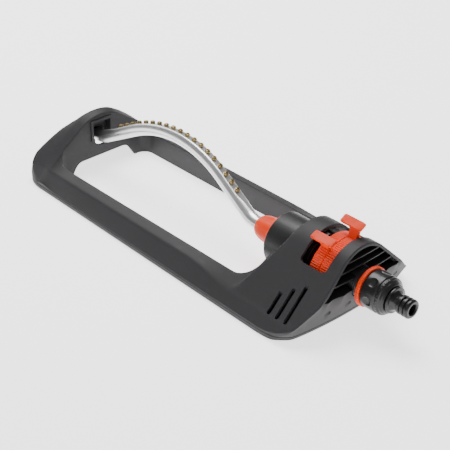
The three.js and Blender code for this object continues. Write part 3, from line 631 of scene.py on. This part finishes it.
def window_cutter():
    """The window for the tabs: a rectangle in x carried round the hood, narrower towards its rounded ends."""
    a = np.radians(np.linspace(-65, 65, 61))
    gap = np.radians(65) - np.abs(a)
    corner = 0.13
    round_off = np.where(gap < corner, 4.5 * (1 - np.sqrt(np.maximum(1 - (1 - gap / corner) ** 2, 0))), 0)
    half = 14.4 - round_off
    loop = np.array([(-1, 18), (1, 18), (1, 50), (-1, 50)])
    x = 326.8 + half[:, None] * loop[None, :, 0]
    r = loop[None, :, 1] + 0 * x
    body = np.stack([x, r * np.sin(a)[:, None], AXIS + r * np.cos(a)[:, None]], -1)
    ends = [np.broadcast_to(body[i].mean(0), (1, 4, 3)) for i in (0, -1)]
    return surface("cut_window", np.concatenate([ends[0], body, ends[1]], 0), close_v=True)


def prism_cutter(name, outline, lo, hi, axes):
    """An outline in two axes carried straight along the third from lo to hi; axes gives their order."""
    return surface(name, slab(outline, lo, hi, 1e-3)[..., axes], close_u=True)


def cut(obj, cutters, operation="DIFFERENCE"):
    """Subtracts the cutters from the piece, or adds them to it, one after another, and removes them."""
    for cutter in cutters:
        mod = obj.modifiers.new("cut", "BOOLEAN")
        mod.operation, mod.object, mod.solver = operation, cutter, "MANIFOLD"
        bpy.context.view_layer.update()
        made = bpy.data.meshes.new_from_object(obj.evaluated_get(bpy.context.evaluated_depsgraph_get()))
        if len(made.polygons) < 100 or len(made.polygons) == len(obj.data.polygons):
            raise RuntimeError(f"cutting {obj.name} with {cutter.name} failed")
        obj.modifiers.clear()
        obj.data = made
        bpy.data.objects.remove(cutter)
    return shaded(obj, 32.0)


def mouth_outline(inset, sill, count):
    """The mouth across the object: flat along the sill, straight along the wings and round above, all
    inset from the outside of the hood."""
    a = np.radians(np.linspace(-45, 45, count))
    r = HOOD_R - inset
    foot = WING_PLANE - sill - inset * math.sqrt(2)
    return np.vstack([[(-foot, sill)], np.stack([r * np.sin(a), AXIS + r * np.cos(a)], -1), [(foot, sill)]])


def build_shell(sizes):
    """The base frame's skin with its mouth, window, slots, bores, recess, finger gap and face dents.  A
    pocket is added behind the recess, and a lip on each side fills the gap beside the belly cover."""
    obj = surface("shell_skin", frame_skin(sizes), close_u=True, close_v=True)
    pocket = [(-13.3, 33.5), (13.3, 33.5), (13.3, 55.8), (-13.3, 55.8)]
    lip = np.array([(283, 70.05), (331, 70.05), (331, 72.8), (324, 77.4), (316, 78), (283, 78)])
    lips = [prism_cutter("lip", (lip * (1, side))[::side], 1.6, 3.4, [0, 1, 2]) for side in (-1, 1)]
    cut(obj, [prism_cutter("pocket", pocket, -9.8, 1.5, [2, 0, 1]), *lips], "UNION")
    cutters = [
        prism_cutter("cut_mouth", mouth_outline(sizes.wall, SILL, 33), 336, 380, [2, 0, 1]),
        window_cutter(),
        turned("cut_motor", [(250, 0), (250, 26.3), (301, 26.3), (301, 0)], 96),
        turned("cut_thread", [(330, 0), (330, STEM_HOLE), (370, STEM_HOLE), (370, 0)], 72),
        turned("cut_bearing", [(-12, 0), (-12, 9.6), (6, 9.6), (6, 0)], 64),
        prism_cutter("cut_recess", [(-10.5, 36), (10.5, 36), (10.5, 53), (-10.5, 53)], -7, 6, [2, 0, 1]),
        prism_cutter("cut_finger", rounded([
            (-41, -2, 0.1), (41, -2, 0.1), (41, 0, 0.5), (33, 12.5, 3), (28, 15.5, 3), (-28, 15.5, 3),
            (-33, 12.5, 3), (-41, 0, 0.5)]), -45, 2.9, [2, 0, 1]),
    ]
    # slots in both wings, with round ends, and dents in the face
    half, end, dent_z = 1.9, 1.8, 17.5
    for x, z in zip((314, 323.5, 333), (31.6, 37.2, 42)):
        for side in (-1, 1):
            x0, x1 = x - half, x + half
            y0, y1 = sorted((side * (WING_PLANE - z), side * 70))
            hole = rounded([(x0, y0, end), (x1, y0, end), (x1, y1, end), (x0, y1, end)])
            cutters.append(prism_cutter("cut_slot", hole, 7, 60, [0, 1, 2]))
    for y in (-35.6, -12.2, 12.2, 49.7):
        x = front_x(dent_z, y)
        dent = [(x - 0.9, 0), (x - 0.8, 3.0), (x + 2, 4.4), (x + 2, 0)]
        cutters.append(turned("cut_dent", dent, 32, y=y, z=dent_z))
    return cut(obj, cutters)


# ------------------------------------------------------------------ spray tube
# the small bends' radius and angle, the bow's ends and crest, and the straight lengths at both ends
BEND_R, BEND, BOW_REAR, BOW_FRONT, TUBE_CREST = 32.0, math.radians(27.6), -5.0, 230.0, 39.6
REAR_END, FRONT_END = 3.0, 10.0


def tube_line(count):
    """Centre line of the tube in its own plane, evenly spaced: straight, a bend up, one wide bow, a bend
    down and straight again.  Returns x, height, slope and length."""
    mid = (BOW_REAR + BOW_FRONT) / 2
    run = mid - BOW_REAR - BEND_R * math.sin(BEND)
    rise = TUBE_CREST - BEND_R * (1 - math.cos(BEND))
    big = (run * math.tan(BEND) - rise) / (math.sin(BEND) * math.tan(BEND) - 1 + math.cos(BEND))
    straight = (run - big * math.sin(BEND)) / math.cos(BEND)
    # (length, curvature) of each stretch
    parts = [(REAR_END, 0), (BEND_R * BEND, 1 / BEND_R), (straight, 0), (2 * big * BEND, -1 / big),
             (straight, 0), (BEND_R * BEND, 1 / BEND_R), (FRONT_END, 0)]
    ends = np.cumsum([0] + [p[0] for p in parts])
    s = np.linspace(0, ends[-1], 4001)
    stretch = np.clip(np.searchsorted(ends, s, side="right") - 1, 0, len(parts) - 1)
    curve = np.array([p[1] for p in parts])[stretch]

    def summed(rate):
        """The running sum of a rate along the line, starting at 0."""
        return np.concatenate([[0], np.cumsum((rate[1:] + rate[:-1]) / 2 * (s[1] - s[0]))])

    slope = summed(curve)
    x = BOW_REAR - REAR_END + summed(np.cos(slope))
    h = summed(np.sin(slope))
    at = np.linspace(0, ends[-1], count)
    return np.interp(at, s, x), np.interp(at, s, h), np.interp(at, s, slope), ends[-1]


def build_tube(sizes):
    """The tube: a circle with a flat land on top, its corners rounded, carried along the centre line,
    with a wall and open ends."""
    x, h, slope, _ = tube_line(260)
    a = np.linspace(0, 2 * np.pi, 72, endpoint=False)

    def loop(r, flat, i):
        """The section: the circle is held under the flat, which fades out at both ends of the bow."""
        fade = ease(x[i], 4, 20) * (1 - ease(x[i], 196, 216))
        return r * np.cos(a), smooth_min(r * np.sin(a), r + 0.5 + (flat - r - 0.5) * fade, 0.35)

    # (point of the line, depth below the outside): out along the tube and back inside its wall
    last = len(x) - 1
    order = [(0, 1.0), (0, 0.3)] + [(i, 0.0) for i in range(len(x))] + [(last, 0.3), (last, 1.0)]
    order += [(i, 1.0) for i in range(last - 1, 0, -1)]
    rows = []
    for i, depth in order:
        across, up = loop(sizes.radius - depth, sizes.flat + 0.4 - depth, i)
        px = x[i] - up * math.sin(slope[i])
        rows.append(leaned(px, across, h[i] + up * math.cos(slope[i]), sizes.lean))
    return surface("spray_tube_skin", np.stack(rows, 0), close_u=True, close_v=True, sharp=50)


def build_nozzles(sizes):
    """The nozzles: a turned head on a stem, with a sunk bore and six shallow flats, square on the tube."""
    line_x, line_h, line_slope, total = tube_line(2001)
    at = np.linspace(0, total, 2001)
    crest = (total + REAR_END - FRONT_END) / 2
    # (radius, height above the flat)
    r = sizes.head
    profile = np.array([
        (0, -1.7), (1.3, -1.7), (1.35, 0.22), (r - 0.15, 0.25), (r, 0.45), (r, 2.3), (r - 0.2, 2.6),
        (r - 0.65, 2.8), (r - 0.7, 3.1), (r - 0.9, 3.25), (0.6, 3.2), (0.5, 2.9), (0.5, 2.0), (0, 2.0)])
    a = np.linspace(0, 2 * np.pi, 24, endpoint=False)[:, None]
    rad = profile[None, :, 0] * (1 - 0.035 * np.cos(6 * a))
    along, across, up = rad * np.cos(a), rad * np.sin(a), sizes.flat + profile[None, :, 1] + 0 * rad
    out = []
    for i in range(sizes.nozzles):
        s = crest + (i - (sizes.nozzles - 1) / 2) * sizes.pitch
        x, h, slope = (np.interp(s, at, q) for q in (line_x, line_h, line_slope))
        px = x + along * math.cos(slope) - up * math.sin(slope)
        grid = leaned(px, across, h + along * math.sin(slope) + up * math.cos(slope), sizes.lean)
        out.append(surface(f"nozzle_skin_{i + 1:02d}", grid, close_u=True))
    return out


# ------------------------------------------------------------------ round pieces
def build_collar():
    """The orange collar: a rounded socket that swells from the tube to the disc, with eight shallow
    flutes."""
    prof = rounded([
        (232.5, 6.9, 0.3), (232.5, 8.2, 0.6), (234.5, 9.9, 1.5), (239, 11.6, 3), (245, 12.3, 4),
        (253, 12.6, 3), (257.2, 13.4, 1.5), (258.6, 14.2, 0.3), (258.6, 7.4, 0.2), (241.5, 7.4, 0.2),
        (241.5, 6.9, 0.2)], 6)

    def flutes(a, x, r):
        """Shallow hollows along the outside, deepest in the middle of the collar."""
        middle = ease(x, 234, 239) * (1 - ease(x, 250, 256))
        return -0.35 * (r > 8.5) * (0.5 - 0.5 * np.cos(8 * a)) ** 3 * middle

    return turned("collar_skin", prof, 160, flutes)


def build_motor():
    """The motor's can, with a rolled back edge, hollow and open at the front."""
    prof = rounded([
        (261.7, 9.8, 0.2), (261.7, 24.6, 0.3), (262.2, 25.0, 0.8), (280, 25.0, 0.3), (309, 25.0, 0.4),
        (309, 22.5, 0.2), (264.2, 22.5, 0.4), (264.2, 9.8, 0.2)])
    return turned("motor_skin", prof, 160)


def build_disc():
    """The thin orange disc behind the motor, whose rim shows as a bright line."""
    prof = rounded([(259.6, 7.5, 0.2), (259.6, 22.8, 0.6), (261.4, 23.3, 0.3), (261.4, 7.5, 0.2)])
    return turned("disc_skin", prof, 160)


# places in mm and angles in degrees; lean is where the tab stands round the axis
RINGS = (
    {"name": "rear_ring_skin", "x": 320.4, "foot_x": 325.0, "plate_x": 325.2, "top": 40.5, "tilt": -5,
     "lean": -27},
    {"name": "front_ring_skin", "x": 330.9, "foot_x": 335.0, "plate_x": 331.4, "top": 44.0, "tilt": 42,
     "lean": 13},
)


def squarish(u, power=0.22):
    """A circle's cosine and sine raised to a small power, which gives a square with rounded corners."""
    c, s = np.cos(u), np.sin(u)
    return np.sign(c) * np.abs(c) ** power, np.sign(s) * np.abs(s) ** power


def build_tab(ring):
    """A ring's finger tab: squarish sections stacked outwards from the band, which spread into a plate
    turned by its tilt, and the whole leaned round the axis."""
    top = ring["top"]
    # (height, half length, half width, how far the plate's place and tilt are reached)
    foot = [(29.6, 0, 0, 0), (29.6, 4.2, 2.6, 0), (31.2, 4.4, 2.7, 0), (33.5, 4.5, 2.3, 0)]
    plate = [(-5, 4.7, 2.2, 0.1), (-3.2, 5.6, 2.6, 0.3), (-1.9, 8.0, 3.3, 0.7), (-1.2, 10.5, 3.9, 1),
             (-0.7, 11.4, 4.2, 1), (-0.1, 11.6, 4.3, 1), (0.8, 11.6, 4.3, 1), (1.3, 11.4, 4.2, 1),
             (1.6, 10.8, 3.8, 1), (1.55, 5, 2.0, 1), (1.5, 0, 0, 1)]
    rows = np.array(foot + [(top + z, *rest) for z, *rest in plate])
    z, half_x, half_y, share = rows.T[:, None, :]
    box_x, box_y = squarish(np.linspace(0, 2 * np.pi, 64, endpoint=False)[:, None])
    x = ring["foot_x"] + (ring["plate_x"] - ring["foot_x"]) * share + half_x * box_x
    y = half_y * box_y
    turn = math.radians(ring["tilt"]) * share
    across = y * np.cos(turn) - (z - top) * np.sin(turn)
    up = top + y * np.sin(turn) + (z - top) * np.cos(turn)
    return surface("tab", leaned(x, across, up, math.radians(ring["lean"])), close_u=True)


def build_ring(sizes, ring):
    """A range ring: a ribbed band on a thin web, with its finger tab.  The band's radius drops between
    the ribs by the rib depth, a raised-cosine groove, and the ribs fade out at its rounded edges."""
    x0, x1, r = ring["x"], ring["x"] + sizes.width, sizes.radius
    prof = rounded([
        (x0, 28.4, 0.3), (x0, r, 1.3), (x1, r, 1.3), (x1, 28.4, 0.3), (x0 + 5.4, 28.4, 0.2),
        (x0 + 5.4, 10.4, 0.2), (x0 + 3, 10.4, 0.2), (x0 + 3, 28.4, 0.2)], 6)

    def ribs(a, x, rr):
        """Grooves along x, cut into the outside only."""
        mask = (rr > r - 0.9) * ease(x, x0 + 0.3, x0 + 1.6) * (1 - ease(x, x1 - 1.6, x1 - 0.3))
        return -sizes.depth * mask * (0.5 - 0.5 * np.cos(sizes.ribs * a)) ** 1.6

    return joined(ring["name"], [turned("band", prof, sizes.ribs * 8, ribs), build_tab(ring)])


def build_stem():
    """The inlet stem: a cap on the motor, a plain shank and the hose thread."""
    i = np.arange(1, 74)
    thread = np.stack([342.2 + 0.5 * i, 13.1 - 0.45 * (0.5 - 0.5 * np.cos(np.pi * i / 2))], -1)
    prof = np.vstack([
        [(309.3, 6.5), (309.3, 24.6), (309.7, 25.0), (311.4, 25.0), (311.8, 24.6), (311.8, 10.0),
         (342.2, 10.0), (342.2, 12.6)], thread, [(379.5, 12.6), (379.5, 9.6), (350, 9.6), (346, 6.5)]])
    return turned("stem_skin", prof, 96)


def build_nut():
    """The union nut: a barrel with six oval finger dents, a knurled shoulder and stepped rings at the
    front."""
    prof = rounded([
        (365.2, 13.4, 0.2), (365.2, 16.6, 0.5), (366.3, 17.0, 0.6), (379.4, 17.0, 0.5), (380.0, 16.2, 0.3),
        (381.2, 16.2, 0.3), (381.6, 16.9, 0.3), (383.4, 16.6, 0.5), (384.2, 15.0, 0.4), (385.6, 14.6, 0.4),
        (386.2, 13.6, 0.3), (387.4, 13.0, 0.5), (387.4, 9.6, 0.2), (384.8, 9.6, 0.2), (384.8, 13.4, 0.2)])

    def dents(a, x, r):
        """Oval hollows in a ring, and fine notches round the shoulder."""
        pitch = 2 * np.pi / 6
        across = ((a / pitch + 0.4) % 1 - 0.5) * pitch * 17
        hollow = np.clip(1 - (across / 4.1) ** 2 - ((x - 373.2) / 4.2) ** 2, 0, 1)
        notch = (0.5 - 0.5 * np.cos(36 * a)) ** 2 * ease(x, 381.2, 381.8) * (1 - ease(x, 383, 383.6))
        return -1.0 * (r > 16) * (1.1 * np.sqrt(hollow) + 0.2 * notch)

    return turned("nut_skin", fill_in(prof, 0.5), 288, dents)


def build_nipple():
    """The hose plug: a flange, a stepped cone with six flats, a waist and the ribbed tip with its bore."""
    prof = rounded([
        (382, 4.6, 0.1), (382, 12.9, 0.2), (384.4, 12.9, 0.2), (384.4, 9.2, 0.2), (388.4, 9.2, 0.2),
        (388.4, 11.8, 0.5), (390.2, 11.8, 0.6), (390.8, 9.6, 0.5), (393.6, 7.4, 1.2), (395.6, 6.6, 0.8),
        (396.2, 8.3, 0.4), (398.8, 8.5, 0.5), (399.3, 6.9, 0.4), (400.7, 6.9, 0.4), (401.2, 8.5, 0.4),
        (403.1, 8.5, 0.4), (403.5, 7.1, 0.35), (404.6, 7.1, 0.35), (405, 8.5, 0.4), (406.8, 8.5, 0.8),
        (408, 7.4, 0.5), (408, 5.4, 0.4), (406.8, 4.6, 0.4)])

    def flats(a, x, r):
        """Six flats on the cone."""
        return -0.5 * (r > 7) * ease(x, 390.2, 391) * (1 - ease(x, 393, 394)) * np.cos(3 * a) ** 2

    return turned("nipple_skin", fill_in(prof, 0.8), 144, flats)


def build_inlet_ring():
    """The orange ring behind the nut, with fine grip notches."""
    prof = rounded([(361.2, 13.4, 0.2), (361.2, 18.2, 0.8), (364.9, 18.2, 0.8), (364.9, 13.4, 0.2)], 6)

    def notches(a, x, r):
        """Small grooves round the rim."""
        return -0.25 * (r > 17) * (0.5 - 0.5 * np.cos(60 * a)) ** 2

    return turned("inlet_ring_skin", prof, 480, notches)


def build_trip_arm():
    """The black arm between the motor and the rings: a hub with a rounded finger."""
    section = rounded([(312.1, 10.4, 0.2), (312.1, 14, 0.4), (317.4, 14, 0.4), (317.4, 10.4, 0.2)], 4)
    outline = rounded([(-3.6, 12, 1), (3.6, 12, 1), (3.6, 30.5, 1.5), (-3.6, 30.5, 1.5)])
    across, up, x = np.moveaxis(slab(outline, 313, 317.4, 0.5), -1, 0)
    finger = surface("finger", leaned(x, across, up, math.radians(-8)), close_u=True)
    return joined("trip_arm_skin", [turned("hub", section), finger])


# ------------------------------------------------------------------ front grille
def build_grille():
    """The dark panel behind the mouth with its slats: each slat's front edge follows the bowed face,
    and its ends follow the wings."""
    parts, end_gap = [], 4.476
    for z in (45.6, 54.2, 61.2):
        wing = WING_PLANE - z
        half = (wing if wing > HOOD_EDGE else math.sqrt(HOOD_R**2 - (z - AXIS) ** 2)) - end_gap
        y = np.linspace(-half, half, 41)
        outline = np.vstack([np.stack([front_x(z, y, 0.8), y], -1), [(344.6, half), (344.6, -half)]])
        parts.append(surface("slat", slab(outline, z - 0.75, z + 0.75, 0.35), close_u=True))
    panel = slab(mouth_outline(3.1, 35.5, 25), 343.6, 345.6, 0.2)[..., [2, 0, 1]]
    parts.append(surface("panel", panel, close_u=True))
    stem = [(340, 0), (340, STEM_HOLE), (360, STEM_HOLE), (360, 0)]
    return cut(joined("grille_skin", parts), [turned("cut_stem", stem, 64)])


# ------------------------------------------------------------------ operators
def stand_in(obj, body, finish, node):
    """Dresses a new piece, ties it to its body and lets it stand for its CAD node."""
    dress(obj, finish)
    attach(obj, body)
    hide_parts(node)


class SPRINKLER_OT_shell(bpy.types.Operator):
    """Build the smooth skin of the base frame"""

    bl_idname = "sprinkler.shell"
    bl_label = "Base frame"

    def execute(self, context):
        stand_in(build_shell(context.scene.sprinkler_shell), "base", "shell_grey", "base_frame")
        return {"FINISHED"}


class SPRINKLER_OT_grille(bpy.types.Operator):
    """Build the slatted grille in the front mouth"""

    bl_idname = "sprinkler.grille"
    bl_label = "Front grille"

    def execute(self, context):
        stand_in(build_grille(), "base", "grille_dark", "front_grille")
        return {"FINISHED"}


class SPRINKLER_OT_tube(bpy.types.Operator):
    """Build the bowed spray tube and its nozzles"""

    bl_idname = "sprinkler.tube"
    bl_label = "Tube and nozzles"

    def execute(self, context):
        sizes = context.scene.sprinkler_tube
        stand_in(build_tube(sizes), "spray_arm", "aluminium", "spray_tube")
        for i, obj in enumerate(build_nozzles(sizes)):
            stand_in(obj, "spray_arm", "brass", f"nozzle_{i + 1:02d}")
        return {"FINISHED"}


class SPRINKLER_OT_motor(bpy.types.Operator):
    """Build the collar, the orange disc, the motor can and the trip arm"""

    bl_idname = "sprinkler.motor"
    bl_label = "Collar and motor"

    def execute(self, context):
        stand_in(build_collar(), "spray_arm", "orange", "tube_collar")
        stand_in(build_disc(), "base", "orange", "rear_disc")
        stand_in(build_motor(), "base", "black_satin", "motor_housing")
        stand_in(build_trip_arm(), "trip", "black_satin", "trip_arm")
        return {"FINISHED"}


class SPRINKLER_OT_rings(bpy.types.Operator):
    """Build the two ribbed range rings with their finger tabs"""

    bl_idname = "sprinkler.rings"
    bl_label = "Range rings"

    def execute(self, context):
        for ring, place in zip(RINGS, ("rear", "front")):
            obj = build_ring(context.scene.sprinkler_rings, ring)
            stand_in(obj, f"{place}_range", "orange", f"range_ring_{place}")
        return {"FINISHED"}


class SPRINKLER_OT_inlet(bpy.types.Operator):
    """Build the inlet stem, its orange ring, the union nut and the hose plug"""

    bl_idname = "sprinkler.inlet"
    bl_label = "Hose inlet"

    def execute(self, context):
        stand_in(build_stem(), "base", "black_satin", "inlet_stem")
        stand_in(build_inlet_ring(), "base", "orange", "inlet_ring")
        stand_in(build_nut(), "nut", "black_gloss", "union_nut")
        stand_in(build_nipple(), "base", "black_gloss", "hose_nipple")
        return {"FINISHED"}


class SPRINKLER_OT_inner(bpy.types.Operator):
    """Give every part that keeps its packed shape its finish"""

    bl_idname = "sprinkler.inner"
    bl_label = "Inner parts"

    def execute(self, context):
        slots = {row["node"]: row["material_slot"] for row in frame["record"]["subparts"]}
        for name, obj in frame["nodes"].items():
            if not obj.hide_render:
                dress(obj, "black_satin" if name == "rear_bearing" else slots[name])
        return {"FINISHED"}


class SPRINKLER_OT_stage(bpy.types.Operator):
    """Build the pale floor, the soft lights and the camera"""

    bl_idname = "sprinkler.stage"
    bl_label = "Stage"

    def execute(self, context):
        t = np.linspace(-1, 1, 9)
        u, v = np.meshgrid(t * 3000, t * 3000, indexing="ij")
        floor = surface("floor", np.stack([u, v, 0 * u - 0.05], -1))
        s = Shader("floor_pale")
        s.feed("Base Color", s.mix(s.noise(3), (0.93, 0.93, 0.93, 1), (0.96, 0.96, 0.96, 1)))
        s.feed("Roughness", 0.9)
        s.feed("Emission Color", (1, 1, 1, 1))
        s.feed("Emission Strength", 1.9)
        floor.data.materials.append(s.material)
        world = bpy.data.worlds.new("soft_sky")
        world.use_nodes = True
        sky = world.node_tree.nodes["Background"].inputs
        sky["Color"].default_value, sky["Strength"].default_value = (1, 1, 1, 1), 0.25
        context.scene.world = world
        for name, power, size, where in (
            ("key", 32, 1.0, (-0.5, 0.35, 1.5)),
            ("fill", 3.5, 1.4, (0.7, -1.3, 0.9)),
            ("rim", 6, 0.8, (-1.3, 0.2, 0.8)),
        ):
            light = bpy.data.lights.new(name, "AREA")
            light.energy, light.size = power, size
            obj = linked(name, light)
            obj.location = where
            x, y, z = np.array([0, 0, 0.03]) - np.array(where)
            obj.rotation_euler = (math.atan2(math.hypot(x, y), -z), 0, math.atan2(y, x) - math.pi / 2)
        camera = bpy.data.cameras.new("camera")
        camera.lens, camera.sensor_width, camera.clip_start = 94.03, 36, 0.05
        view = linked("camera", camera)
        view.location = (0.68306, -0.62352, 0.58750)
        view.rotation_euler = (math.radians(58.213), 0, math.radians(47.632))
        context.scene.camera = view
        return {"FINISHED"}


STEPS = (SPRINKLER_OT_shell, SPRINKLER_OT_grille, SPRINKLER_OT_tube, SPRINKLER_OT_motor, SPRINKLER_OT_rings,
         SPRINKLER_OT_inlet, SPRINKLER_OT_inner, SPRINKLER_OT_stage)
GROUPS = (("sprinkler_colours", SprinklerColours), ("sprinkler_shell", ShellSizes),
          ("sprinkler_tube", TubeSizes), ("sprinkler_rings", RingSizes))


class SPRINKLER_PT_panel(bpy.types.Panel):
    """Sizes, colours and building steps of the sprinkler"""

    bl_idname = "SPRINKLER_PT_panel"
    bl_label = "Lawn sprinkler"
    bl_space_type = "VIEW_3D"
    bl_region_type = "UI"
    bl_category = "Sprinkler"

    def draw(self, context):
        for name, group in GROUPS:
            box = self.layout.box()
            box.label(text=group.__doc__)
            for key in group.__annotations__:
                box.prop(getattr(context.scene, name), key)
        for step in STEPS:
            self.layout.operator(step.bl_idname)


def register():
    """Registers the groups of sizes, the operators and the panel."""
    for name, group in GROUPS:
        bpy.utils.register_class(group)
        setattr(bpy.types.Scene, name, PointerProperty(type=group))
    for cls in STEPS + (SPRINKLER_PT_panel,):
        bpy.utils.register_class(cls)


def unregister():
    """Takes them out again."""
    for cls in (SPRINKLER_PT_panel,) + STEPS[::-1]:
        bpy.utils.unregister_class(cls)
    for name, group in GROUPS[::-1]:
        delattr(bpy.types.Scene, name)
        bpy.utils.unregister_class(group)


def main():
    """Runs every step in order."""
    register()
    for step in STEPS:
        group, name = step.bl_idname.split(".")
        getattr(getattr(bpy.ops, group), name)()


if __name__ == "__main__":
    main()
